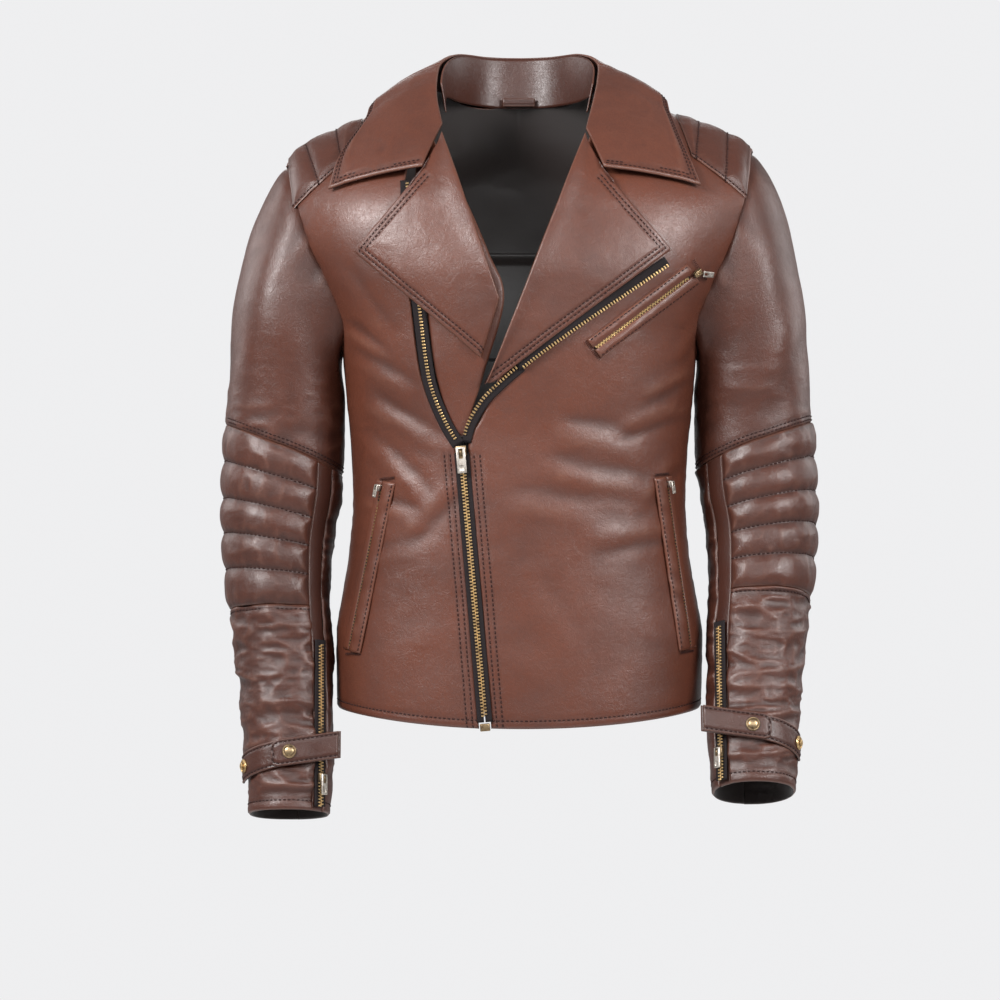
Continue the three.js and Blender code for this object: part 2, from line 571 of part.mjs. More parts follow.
// ---------- hand pockets ----------
function handPocket(side) {
  const name = `${sideName(side)}_hand_pocket`;
  const high = side === RIGHT ? [-125, -376] : [134, -372];
  const low = side === RIGHT ? [-158, -536] : [158, -534];
  const path = outline([high, low]);
  add(`${name}_welt`, band(path, side * -1.5, side * 9, 1.5, 3.5, 10), leather);
  const run = zipFrame(path(0.045), path(0.95), 2.2);
  const seat = new THREE.Group();
  seat.position.set(side * 4.9, 0, -0.9);
  run.add(seat);
  slider(name, seat, 0.5);
  add(`${name}_pull`, pullGeometry(0.5).translate(0, 1.3, PULL_HEIGHT + 0.2), nickel, seat);
}
for (const side of [RIGHT, LEFT]) handPocket(side);

// ---------- sleeves ----------
// the sleeve is a run of rings; down is measured from the hanger loop, turn 0 is the outer side,
// 90 degrees the front, 180 the inner side and 270 the back
const ARM = 300;                // below this the rings are plain ovals
const sleeveCentreX = (down) => along([[300, 226], [345, 227], [387, 228.5], [442, 232], [492, 230],
  [543, 225], [598, 221.5], [647, 219], [SLEEVE_END, 219]], down);
const sleeveHalfWidth = (down) => along([[300, 56], [345, 57], [387, 56.5], [442, 51.5], [492, 48.5],
  [543, 46.5], [598, 44], [647, 41.5], [SLEEVE_END, CUFF_HALF_WIDTH]], down);
const sleeveHalfDepth = (down) => along([[300, 66], [345, 62], [442, 55], [543, 49], [647, 43],
  [SLEEVE_END, CUFF_HALF_WIDTH + 1]], down);
const forwardReach = (side) => (side === RIGHT ? 58 : 92);   // how far the cuff hangs forward
const SHORTEN = (side) => (side === RIGHT ? 0 : 24);         // and how much that lifts it
function sleeveCentre(side, down) {
  const t = clamp((down - ARM) / (SLEEVE_END - ARM), 0, 1.05);
  const y = -66 - forwardReach(side) * t ** 1.6;
  return new THREE.Vector3(side * sleeveCentreX(down), y, -down + SHORTEN(side) * t);
}
function sleeveRing(side, down, turn, lift) {
  const c = sleeveCentre(side, down);
  const ahead = sleeveCentre(side, down + 4);
  const tilt = Math.atan2(c.y - ahead.y, c.z - ahead.z);
  const power = 2.15;
  const round = (value) => Math.sign(value) * Math.abs(value) ** (2 / power);
  const x = (sleeveHalfWidth(down) + lift) * round(Math.cos(turn));
  const d = (sleeveHalfDepth(down) + lift) * round(Math.sin(turn));
  return new THREE.Vector3(c.x + side * x, c.y - d * Math.cos(tilt), c.z + d * Math.sin(tilt));
}
const ARMHOLE_GAP = 6;          // sleeve head clear of the panels, so that it can swing
// the armhole ring, on the body form: over the top at turn 0, underarm at turn 180 degrees
function armholeRing(side, turn) {
  const front = Math.sin(turn) >= 0;
  const curve = front ? armholeFront(side) : armholeBack(side);
  const share = 1 - Math.abs(front ? turn : 2 * Math.PI - turn) / Math.PI;
  const [x, z] = curve(clamp(share, 0, 1));
  const p = onBody(front ? FRONT : BACK, angleOf(x, z), z);
  p.x += side * ARMHOLE_GAP;
  return p;
}
const LEAD = 70;                // how straight the sleeve leaves the armhole
// a point on the sleeve; t from 0 at the armhole to 1 at the first plain ring, then on down
function sleevePoint(side, down, turn, lift) {
  if (down >= ARM) return sleeveRing(side, down, turn, lift);
  const start = armholeRing(side, turn);
  const end = sleeveRing(side, ARM, turn, lift);
  const t = down / ARM;
  const c = new THREE.Vector3(side * 208, -72, -158);
  const away = start.clone().sub(c).normalize();
  start.addScaledVector(away, lift);
  const lead = Math.min(LEAD, start.distanceTo(end) * 0.4);
  const out = new THREE.Vector3(side * 0.5, 0, -0.62).addScaledVector(away, 0.16).normalize();
  const a = start.clone().addScaledVector(out, lead);
  const back = sleeveRing(side, ARM + 8, turn, lift).sub(end).normalize();
  const b = end.clone().addScaledVector(back, -lead * 0.8);
  return new THREE.CubicBezierCurve3(start, a, b, end).getPoint(t);
}
const slantedSeam = (at) => (turn) => at - ELBOW_SLANT * Math.cos(turn);
const FULL = 2 * Math.PI;
function sleeveSheet(side, turns, from, to, across, up, outer, inner, ring = false) {
  return sheet((u, v, layer) => {
    const turn = lerp(turns[0], turns[1], u);
    const down = lerp(from(turn), to(turn), v);
    const wrapped = ((turn % FULL) + FULL) % FULL;
    return sleevePoint(side, down, wrapped, layer ? outer : inner);
  }, across, up, ring);
}
// ---------- cuff straps ----------
const STRAP_DOWN = 642;         // height of the strap on the sleeve
const STRAP_THICK = 2.6;
const STRAP_REACH = 51;         // from the sleeve's centre line to the strap's fold
const WRAP_SHARE = 0.6;         // the strap lies on the sleeve this far, then stands free
// a point on the strap: w from its outer end to its fold, across from -1 to 1
function strapPoint(side, w, across, lift) {
  const slant = lerp(10, -9, w) + across * STRAP_WIDTH / 2;
  const down = STRAP_DOWN + slant;
  const turn = lerp(12, 84, Math.min(w / WRAP_SHARE, 1)) * Math.PI / 180;
  const p = sleevePoint(side, down, turn, lift);
  if (w > WRAP_SHARE) {
    const t = (w - WRAP_SHARE) / (1 - WRAP_SHARE);
    const end = side * (sleeveCentreX(STRAP_DOWN) - STRAP_REACH);
    p.x = lerp(p.x, end, t);
    p.y += 5 * t * t;
  }
  return p;
}
const strapAxis = (side, w) => strapPoint(side, w, -1, 0).sub(strapPoint(side, w, 1, 0)).normalize();
function strapFrame(side, w, lift) {
  const origin = strapPoint(side, w, 0, lift);
  const tangent = strapPoint(side, Math.min(w + 0.02, 1), 0, lift)
    .sub(strapPoint(side, Math.max(w - 0.02, 0), 0, lift));
  const up = strapAxis(side, w);
  const outward = tangent.cross(up);
  if (outward.y > 0) outward.negate();
  return frameAt(origin, outward, up);
}
function cuffStrap(side, name) {
  const low = 1.6;
  const top = low + STRAP_THICK;
  add(`${name}_strap_base`, sheet((u, v, layer) =>
    strapPoint(side, v, lerp(-1, 1, u), layer ? top : low), 2, 14), darkLeather);
  const tabLow = top + 0.5;
  const tabTop = tabLow + STRAP_THICK;
  const tabEnd = 0.52;
  add(`${name}_strap_tab`, sheet((u, v, layer) => {
    const w = lerp(tabEnd, 0.985, v);
    const nose = clamp((w - tabEnd) / 0.09, 0, 1);
    const half = 0.4 + 0.6 * Math.sqrt(1 - (1 - nose) ** 2);
    return strapPoint(side, w, lerp(-1, 1, u) * half, layer ? tabTop : tabLow);
  }, 2, 10), darkLeather);
  const cap = strapFrame(side, 0.665, tabTop);
  add(`${name}_snap_cap`, new THREE.LatheGeometry([[0, 0.35], [SNAP_RADIUS, 0.35], [SNAP_RADIUS, 1.2],
    [SNAP_RADIUS - 1.4, 2.3], [0, 2.8]].map(([r, h]) => new THREE.Vector2(r, h)), 18)
    .rotateX(Math.PI / 2), brass, cap);
  const stud = strapFrame(side, 0.12, top);
  add(`${name}_snap_stud`, new THREE.LatheGeometry([[0, 0.35], [SNAP_RADIUS, 0.35], [SNAP_RADIUS, 1.1],
    [SNAP_RADIUS - 1.2, 1.9], [3.2, 1], [2.6, 1.4], [2.4, 3.4], [0, 4]].map(([r, h]) => new THREE.Vector2(r, h)), 18)
    .rotateX(Math.PI / 2), brass, stud);
}

const degrees = Math.PI / 180;
const INNER_SEAM = 128 * degrees;         // long seam and zip on the inner front of the forearm
const BACK_SEAM = 262 * degrees;          // seam behind the elbow
const ZIP_OPENING = 0.38;                 // angle left open for the forearm zip
const ZIP_TURN = INNER_SEAM + ZIP_OPENING / 2;
const even = (value) => () => value;
for (const side of [RIGHT, LEFT]) {
  const name = sideName(side);
  const upperEnd = (turn) => slantedSeam(ELBOW)(turn) - SEAM;
  const lowerStart = (turn) => slantedSeam(ELBOW)(turn) + SEAM;
  add(`${name}_upper_sleeve`,
    sleeveSheet(side, [0, FULL], even(2), upperEnd, 24, 9, 0, -LEATHER, true), leather);
  const seamShare = 0.014;
  const quiltTurns = [BACK_SEAM - FULL + seamShare, INNER_SEAM - seamShare];
  add(`${name}_forearm_quilt`,
    sleeveSheet(side, quiltTurns, lowerStart, even(QUILT_END - SEAM), 16, 8, 0.8, -LEATHER), leather);
  add(`${name}_wrist_panel`,
    sleeveSheet(side, quiltTurns, even(QUILT_END + SEAM), even(SLEEVE_END), 16, 8, 0, -LEATHER), leather);
  const underFrom = (turn) => lowerStart(turn);
  add(`${name}_under_sleeve`,
    sleeveSheet(side, [INNER_SEAM + ZIP_OPENING, BACK_SEAM - seamShare], underFrom, even(SLEEVE_END), 11, 14, 0, -LEATHER), leather);
  add(`${name}_zip_gusset`,
    sleeveSheet(side, [INNER_SEAM + seamShare, INNER_SEAM + ZIP_OPENING - seamShare], underFrom, even(SLEEVE_END),
      2, 14, -LEATHER - 0.4, -LEATHER - 2), darkLeather);

  // the zip is straight, in its own frame on the inner front of the forearm
  const high = sleevePoint(side, 532, ZIP_TURN, 0.6);
  const low = sleevePoint(side, SLEEVE_END - 4, ZIP_TURN, 0.6);
  const c = sleeveCentre(side, 610);
  const outward = high.clone().lerp(low, 0.5).sub(c);
  const zip = frameAt(low, outward, high.clone().sub(low));
  const length = high.distanceTo(low);
  const bow = side === RIGHT ? 2.2 : 3.4;
  const row = box(ZIP_LEAF, length, 2.2, 0, length / 2, bow);
  const slot = (ZIP_SLOT + ZIP_LEAF) / 2;
  add(`${name}_sleeve_zip_chain`, joined(
    row.clone().translate(slot, 0, 0), row.clone().translate(-slot, 0, 0),
    box(11, length, 1, 0, length / 2, bow - 1.4)), zipTape, zip);
  const runner = new THREE.Group();
  runner.position.set(0, 26, bow - 1.2);
  zip.add(runner);
  slider(`${name}_sleeve`, runner, 0.8, 0);
  add(`${name}_sleeve_pull`, pullGeometry(0.8).translate(0, 2, PULL_HEIGHT + 0.2), nickel, runner);
  cuffStrap(side, name);
}

export default jacket;
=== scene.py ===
# %% [markdown]
# # Leather riding jacket
# A brown leather jacket in its worn shape: offset zip, folded lapels, quilted shoulders and forearms,
# zipped cuffs and snap straps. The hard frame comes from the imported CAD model, and every leather panel,
# zip tooth and stitch is modelled here around it.

# %% Load the frame
import math

import bpy
import json
import numpy as np
from mathutils import Matrix, Vector
from mathutils.bvhtree import BVHTree

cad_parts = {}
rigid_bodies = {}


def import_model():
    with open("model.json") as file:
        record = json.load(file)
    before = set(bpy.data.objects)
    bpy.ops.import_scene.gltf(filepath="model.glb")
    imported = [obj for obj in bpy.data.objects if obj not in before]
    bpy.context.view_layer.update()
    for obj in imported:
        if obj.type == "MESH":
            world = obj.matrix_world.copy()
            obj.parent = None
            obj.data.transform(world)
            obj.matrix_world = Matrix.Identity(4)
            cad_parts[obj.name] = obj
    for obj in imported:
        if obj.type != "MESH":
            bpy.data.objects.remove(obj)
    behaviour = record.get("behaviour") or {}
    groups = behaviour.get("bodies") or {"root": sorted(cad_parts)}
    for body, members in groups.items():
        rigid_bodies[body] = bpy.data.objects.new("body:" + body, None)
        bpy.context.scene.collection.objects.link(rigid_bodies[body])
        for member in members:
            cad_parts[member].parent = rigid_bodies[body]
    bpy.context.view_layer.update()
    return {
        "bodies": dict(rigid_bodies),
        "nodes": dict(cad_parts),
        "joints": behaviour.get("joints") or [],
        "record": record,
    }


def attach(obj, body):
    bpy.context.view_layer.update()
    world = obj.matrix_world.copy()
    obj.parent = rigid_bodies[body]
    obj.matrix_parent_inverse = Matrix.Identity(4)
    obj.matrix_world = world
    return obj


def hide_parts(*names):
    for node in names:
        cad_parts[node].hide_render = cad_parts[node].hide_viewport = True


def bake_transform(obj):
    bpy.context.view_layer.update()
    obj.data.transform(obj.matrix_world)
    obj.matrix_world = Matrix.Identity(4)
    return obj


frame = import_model()
MM = 0.001
RIGHT, LEFT = -1, 1
SIDE = {RIGHT: "right", LEFT: "left"}

# %% [markdown]
# ## Camera, light and floor
# A long lens from nearly three metres keeps the jacket's proportions. Six soft lamps, the key brightest,
# and a pale surround give leather the broad, soft highlights that show its creases.

# %% Camera
scene = bpy.context.scene
CAMERA_DISTANCE = 2.8
CAMERA_AT = (-0.0187, -0.090 - CAMERA_DISTANCE, -0.3936)
camera_data = bpy.data.cameras.new("camera")
camera_data.lens = 105
camera = bpy.data.objects.new("camera", camera_data)
camera.location = CAMERA_AT
camera.rotation_euler = (math.radians(90), 0, 0)
scene.collection.objects.link(camera)
scene.camera = camera


# %% Floor, backdrop and lamps
def pale_material(name, shade):
    """A plain matt studio surface."""
    material = bpy.data.materials.new(name)
    material.use_nodes = True
    shader = material.node_tree.nodes["Principled BSDF"]
    shader.inputs["Base Color"].default_value = (shade, shade, shade, 1)
    shader.inputs["Roughness"].default_value = 0.9
    return material


def stage_plane(name, location, turn, size):
    """A large flat sheet of the studio."""
    bpy.ops.object.select_all(action="DESELECT")
    bpy.ops.mesh.primitive_plane_add(size=size, location=location, rotation=turn)
    plane = bpy.context.object
    plane.name = name
    plane.data.materials.append(pale_material(name + "_paint", 0.82))
    return plane


def soft_lamp(name, location, target, size, power):
    """A square soft box aimed at a point."""
    data = bpy.data.lights.new(name, "AREA")
    data.size = size
    data.energy = power
    lamp = bpy.data.objects.new(name, data)
    lamp.location = location
    aim = Vector(target) - Vector(location)
    lamp.rotation_euler = aim.to_track_quat("-Z", "Y").to_euler()
    scene.collection.objects.link(lamp)
    return lamp


stage_plane("floor", (0, 0, -2.2), (0, 0, 0), 14)
CHEST = (0, -0.1, -0.3)
soft_lamp("key", (-1.7, -1.9, 1.0), CHEST, 0.9, 125)
soft_lamp("fill", (1.9, -1.9, 0.6), CHEST, 0.9, 78)
soft_lamp("front", (0.2, -3.4, 1.0), CHEST, 1.4, 30)
soft_lamp("rim_right", (-2.2, 0.9, 0.6), CHEST, 1.4, 22)
soft_lamp("rim_left", (2.2, 0.9, 0.4), CHEST, 1.4, 20)
soft_lamp("back", (0.0, 2.6, 0.9), CHEST, 1.8, 17)
world = bpy.data.worlds.new("studio")
world.use_nodes = True
surround = world.node_tree.nodes["Background"]
surround.inputs[0].default_value = (0.86, 0.86, 0.87, 1)
# the wall is seen bright but gives the leather only a little light, so the lamps do the modelling
seen = world.node_tree.nodes.new("ShaderNodeLightPath")
strength = world.node_tree.nodes.new("ShaderNodeMapRange")
strength.inputs["To Min"].default_value = 0.36
strength.inputs["To Max"].default_value = 1.0
world.node_tree.links.new(seen.outputs["Is Camera Ray"], strength.inputs["Value"])
world.node_tree.links.new(strength.outputs[0], surround.inputs[1])
scene.world = world
scene.view_settings.view_transform = "Standard"

# %% [markdown]
# ## Measures
# The jacket's form is a set of smooth curves through a few stations: how wide and how deep the body is at
# each height, and where the centre line of each arm runs. They are the CAD model's own measures, in
# millimetres, so every panel lands where its CAD solid is.


# %% Smooth curves and noise
def along(stations, at):
    """A smooth curve through (position, value) stations, without overshoot, for an array of positions."""
    s = sorted(stations)
    x = np.array([p[0] for p in s], float)
    y = np.array([p[1] for p in s], float)
    rise = np.diff(y) / np.diff(x)
    slope = np.empty(len(x))
    slope[0], slope[-1] = rise[0], rise[-1]
    product = rise[:-1] * rise[1:]
    total = rise[:-1] + rise[1:]
    safe = np.where(product > 0, total, 1)
    slope[1:-1] = np.where(product > 0, 2 * product / safe, 0)
    at = np.asarray(at, float)
    i = np.clip(np.searchsorted(x, at, side="right") - 1, 0, len(x) - 2)
    span = x[i + 1] - x[i]
    t = np.clip((at - x[i]) / span, 0, 1)
    value = (2 * t**3 - 3 * t**2 + 1) * y[i] + (3 * t**2 - 2 * t**3) * y[i + 1]
    value += span * ((t**3 - 2 * t**2 + t) * slope[i] + (t**3 - t**2) * slope[i + 1])
    value += np.minimum(at - x[0], 0) * slope[0] + np.maximum(at - x[-1], 0) * slope[-1]
    return value


def ramp(x, low, high):
    """0 below low, 1 above high, smooth between."""
    t = np.clip((np.asarray(x, float) - low) / (high - low), 0, 1)
    return t * t * (3 - 2 * t)


LATTICE = np.random.default_rng(7).random(4096)


def noise(points, size, seed=0):
    """Smooth noise from -1 to 1 over an (n, 3) array of points in millimetres."""
    q = np.asarray(points, float) / size + seed * 17.13
    cell = np.floor(q).astype(np.int64)
    f = q - cell
    f = f * f * (3 - 2 * f)
    total = 0
    for corner in range(8):
        step = np.array([corner & 1, corner >> 1 & 1, corner >> 2 & 1])
        c = cell + step
        key = (c[..., 0] * 73856093) ^ (c[..., 1] * 19349663) ^ (c[..., 2] * 83492791)
        weight = np.prod(np.where(step == 1, f, 1 - f), axis=-1)
        total = total + weight * LATTICE[key & 4095]
    return 2 * total - 1


# %% The body form
SIDE_Y, SHOULDER_Y = -74, -62
HEM_Z, HEM_RISE, UNDERARM_Z = -606, 14, -243
SHOULDER, NECK = 228, 78
HALF_WIDTH = [(-614, 175), (-525, 176), (-480, 169), (-445, 163.5), (-400, 159.5), (-350, 161), (-300, 166),
              (-240, 172), (-190, 197), (-118, 236), (-67, 262), (0, 290), (50, 310)]
BACK_Y = [(-614, 36), (-525, 30), (-430, 22), (-340, 30), (-240, 44), (-150, 52), (-80, 46), (-20, 30),
          (40, 10)]
FRONT_Y = [(-614, -196), (-525, -194.6), (-430, -193.3), (-340, -192.4), (-240, -203), (-190, -204),
           (-120, -190), (-60, -165), (0, -135), (40, -115)]
FRONT = {"power": 2.35, "round": 125, "y": FRONT_Y, "sign": -1}
BACK = {"power": 2.3, "round": 100, "y": BACK_Y, "sign": 1}


def half_width(z):
    return along(HALF_WIDTH, z)


def ridge(x):
    """Height of the shoulder line; the wearer's right shoulder slopes a little more."""
    x = np.asarray(x, float)
    out = np.maximum(0, np.abs(x) - 190)
    slope = np.where(x < 0, 0.42, 0.385)
    drop = np.where(x < 0, 0.0085, 0.004)
    return 38 - slope * np.abs(x) - drop * out**2


def body_y(face, x, z):
    f = np.minimum(1, np.abs(x) / half_width(z))
    full = SIDE_Y + (along(face["y"], z) - SIDE_Y) * (1 - f ** face["power"]) ** (1 / face["power"])
    t = np.clip((ridge(x) - z) / face["round"], 0, 1)
    return SHOULDER_Y + (full - SHOULDER_Y) * np.sqrt(np.maximum(0, 1 - (1 - t) ** 2))


def angle_of(x, z):
    return np.arcsin(np.clip(x / half_width(z), -1, 1))


def on_body(face, angle, z):
    x = half_width(z) * np.sin(angle)
    return np.stack([x, body_y(face, x, z), z + 0 * x], axis=-1)


def body_normal(face, angle, z):
    a = np.clip(angle, -math.pi / 2 + 0.02, math.pi / 2 - 0.02)
    top = ridge(half_width(z) * np.sin(a)) - 0.4
    h = np.minimum(z, top)
    across = on_body(face, a + 0.01, h) - on_body(face, a - 0.01, h)
    up = on_body(face, a, np.minimum(h + 1, top + 0.4)) - on_body(face, a, h - 1)
    n = np.cross(across, up)
    n /= np.linalg.norm(n, axis=-1, keepdims=True)
    facing = n[..., 1] * face["sign"] + n[..., 2] * 0.3 + n[..., 0] * np.sin(a) * 0.5
    return np.where(facing[..., None] < 0, -n, n)


def on_front(x, z, lift=0.0):
    """A point on the front of the body at (x, z), lift millimetres above it."""
    x, z = np.broadcast_arrays(np.asarray(x, float), np.asarray(z, float))
    a = angle_of(x, z)
    return on_body(FRONT, a, z) + body_normal(FRONT, a, z) * np.asarray(lift)[..., None]


print("shoulder line at the neck", round(float(ridge(NECK)), 1), "mm")

# %% The arm form
ARM, SLEEVE_END, ELBOW, ELBOW_SLANT, QUILT_END = 300, 692, 345, 24, 500
ARM_X = [(300, 226), (345, 227), (387, 228.5), (442, 232), (492, 230), (543, 225), (598, 221.5), (647, 219),
         (692, 219)]
ARM_WIDE = [(300, 56), (345, 57), (387, 56.5), (442, 51.5), (492, 48.5), (543, 46.5), (598, 44),
            (647, 41.5), (692, 39)]
ARM_DEEP = [(300, 66), (345, 62), (442, 55), (543, 49), (647, 43), (692, 40)]
REACH = {RIGHT: 58, LEFT: 92}
SHORTEN = {RIGHT: 0, LEFT: 24}
DEGREE = math.pi / 180


def arm_centre(side, down):
    t = np.clip((down - ARM) / (SLEEVE_END - ARM), 0, 1.05)
    return np.stack([side * along(ARM_X, down), -66 - REACH[side] * t**1.6, -down + SHORTEN[side] * t],
                    axis=-1)


def sleeve_ring(side, down, turn, lift):
    c = arm_centre(side, down)
    ahead = arm_centre(side, down + 4)
    tilt = np.arctan2(c[..., 1] - ahead[..., 1], c[..., 2] - ahead[..., 2])
    power = 2 / 2.15
    x = (along(ARM_WIDE, down) + lift) * np.sign(np.cos(turn)) * np.abs(np.cos(turn)) ** power
    d = (along(ARM_DEEP, down) + lift) * np.sign(np.sin(turn)) * np.abs(np.sin(turn)) ** power
    return np.stack([c[..., 0] + side * x, c[..., 1] - d * np.cos(tilt), c[..., 2] + d * np.sin(tilt)],
                    axis=-1)


def curve_through(points, samples=400):
    """A smooth path through flat points, as a function of the share of its length."""
    p = np.array(points, float)
    ext = np.vstack([2 * p[0] - p[1], p, 2 * p[-1] - p[-2]])
    out = []
    for i in range(1, len(ext) - 2):
        t = np.linspace(0, 1, samples // (len(p) - 1) + 2)[:, None]
        a, b, c, d = ext[i - 1], ext[i], ext[i + 1], ext[i + 2]
        out.append(0.5 * (2 * b + (c - a) * t + (2 * a - 5 * b + 4 * c - d) * t**2
                          + (3 * b - a - 3 * c + d) * t**3))
    line = np.vstack(out)
    keep = np.r_[True, np.linalg.norm(np.diff(line, axis=0), axis=1) > 1e-6]
    line = line[keep]
    run = np.r_[0, np.cumsum(np.linalg.norm(np.diff(line, axis=0), axis=1))]
    length = run[-1]

    def at(t):
        s = np.clip(np.asarray(t, float), 0, 1) * length
        return np.stack([np.interp(s, run, line[:, k]) for k in range(line.shape[1])], axis=-1)

    at.length = length
    return at


def straight_through(points):
    """The same for a path with corners."""
    p = np.array(points, float)
    run = np.r_[0, np.cumsum(np.linalg.norm(np.diff(p, axis=0), axis=1))]

    def at(t):
        s = np.clip(np.asarray(t, float), 0, 1) * run[-1]
        return np.stack([np.interp(s, run, p[:, k]) for k in range(p.shape[1])], axis=-1)

    at.length = run[-1]
    return at


def shoulder_tip(side):
    return (side * SHOULDER, float(ridge(side * SHOULDER)))


def armhole(side, face):
    steps = [(58, -222), (44, -188), (27, -150), (14, -110)] if face is FRONT else \
        [(52, -222), (36, -188), (21, -150), (10, -110)]
    start = (side * float(half_width(UNDERARM_Z)), UNDERARM_Z)
    return curve_through([start] + [(side * (SHOULDER - i), z) for i, z in steps] + [shoulder_tip(side)])


ARMHOLES = {(side, key): armhole(side, face)
            for side in (RIGHT, LEFT) for key, face in (("f", FRONT), ("b", BACK))}
HEAD_GAP = -6


def armhole_ring(side, turn):
    """The seam where the sleeve meets the body: over the shoulder at turn 0, the front at 90 degrees."""
    turn = np.mod(turn, 2 * math.pi)
    front = turn <= math.pi
    share = 1 - np.where(front, turn, 2 * math.pi - turn) / math.pi
    f, b = ARMHOLES[side, "f"](share), ARMHOLES[side, "b"](share)
    p = np.where(front[..., None], on_body(FRONT, angle_of(f[..., 0], f[..., 1]), f[..., 1]),
                 on_body(BACK, angle_of(b[..., 0], b[..., 1]), b[..., 1]))
    p[..., 0] += side * HEAD_GAP
    return p


def sleeve_point(side, down, turn, lift=0.0):
    """A point of the sleeve: down is measured from the hanger loop, below ARM the sleeve is plain ovals."""
    down, turn, lift = np.broadcast_arrays(*(np.asarray(v, float) for v in (down, turn, lift)))
    plain = sleeve_ring(side, np.maximum(down, ARM), turn, lift)
    start = armhole_ring(side, turn)
    centre = np.array([side * 208, -72, -158])
    away = start - centre
    away /= np.linalg.norm(away, axis=-1, keepdims=True)
    tucked = np.exp(-((down - 1) / 10) ** 2) * 2.2
    start = start + away * (lift - tucked)[..., None]
    end = sleeve_ring(side, ARM + 0 * down, turn, lift)
    gap = np.linalg.norm(end - start, axis=-1, keepdims=True)
    lead = np.minimum(70, gap * 0.4)
    out = np.array([side * 0.5, 0, -0.62]) + away * 0.16
    out /= np.linalg.norm(out, axis=-1, keepdims=True)
    below = sleeve_ring(side, ARM + 8 + 0 * down, turn, lift) - end
    below /= np.linalg.norm(below, axis=-1, keepdims=True)
    a, b = start + out * lead, end - below * lead * 0.8
    t = np.clip(down / ARM, 0, 1)[..., None]
    head = start * (1 - t) ** 3 + 3 * a * t * (1 - t) ** 2 + 3 * b * t**2 * (1 - t) + end * t**3
    return np.where((down >= ARM)[..., None], plain, head)


print("sleeve runs to", sleeve_point(RIGHT, SLEEVE_END, 0.0).round(1))

# %% [markdown]
# ## Finishes
# Waxed cowhide is never one brown. It rubs pale along folds and turned edges, its surface is a net of fine
# pores, and its creases and sewn grooves are painted darker here, as painted shade. Two shared node groups
# hold that: one for the tone of the hide with that painted shade, one for its grain. Each leather is then the
# same hide with its own colours. Every panel carries two painted attributes, `edge` (1 at a turned edge) and
# `fold` (above 0 on a ridge, below 0 in a crease or sewn groove).


# %% Node helpers
class Nodes:
    """Short names for building a node tree."""

    def __init__(self, tree):
        self.tree = tree

    def add(self, kind, **settings):
        node = self.tree.nodes.new("ShaderNode" + kind)
        for key, value in settings.items():
            setattr(node, key, value)
        return node

    def join(self, a, b):
        self.tree.links.new(a, b)

    def math(self, operation, a, b=None, c=None, clamp=False):
        node = self.add("Math", operation=operation, use_clamp=clamp)
        for k, value in enumerate((a, b, c)):
            self.put(node.inputs[k], value)
        return node.outputs[0]

    def put(self, socket, value):
        if value is None:
            return
        if hasattr(value, "links"):
            self.join(value, socket)
        else:
            socket.default_value = value

    def mix(self, factor, a, b, blend="MIX"):
        node = self.add("Mix", data_type="RGBA", blend_type=blend)
        self.put(node.inputs[0], factor)
        self.put(node.inputs[6], a)
        self.put(node.inputs[7], b)
        return node.outputs[2]

    def noise(self, place, scale, detail=3.0, rough=0.55, warp=0.0):
        node = self.add("TexNoise")
        self.put(node.inputs["Vector"], place)
        node.inputs["Scale"].default_value = scale
        node.inputs["Detail"].default_value = detail
        node.inputs["Roughness"].default_value = rough
        node.inputs["Distortion"].default_value = warp
        return node.outputs["Fac"]

    def range(self, value, low, high, to_low=0.0, to_high=1.0):
        node = self.add("MapRange")
        for k, v in enumerate((value, low, high, to_low, to_high)):
            self.put(node.inputs[k], v)
        return node.outputs[0]

    def painted(self, name):
        return self.add("Attribute", attribute_name=name).outputs["Fac"]


def new_finish(name):
    """An empty material, with its node helper and its shader."""
    material = bpy.data.materials.new(name)
    material.use_nodes = True
    return material, Nodes(material.node_tree), material.node_tree.nodes["Principled BSDF"]


def new_group(name, inputs, outputs):
    """An empty shader group with named sockets; returns the tree, its inputs and its outputs."""
    tree = bpy.data.node_groups.new(name, "ShaderNodeTree")
    for label, kind, value in inputs:
        socket = tree.interface.new_socket(name=label, in_out="INPUT", socket_type="NodeSocket" + kind)
        if value is not None:
            socket.default_value = value
    for label, kind in outputs:
        tree.interface.new_socket(name=label, in_out="OUTPUT", socket_type="NodeSocket" + kind)
    first = tree.nodes.new("NodeGroupInput")
    last = tree.nodes.new("NodeGroupOutput")
    return tree, first.outputs, last.inputs


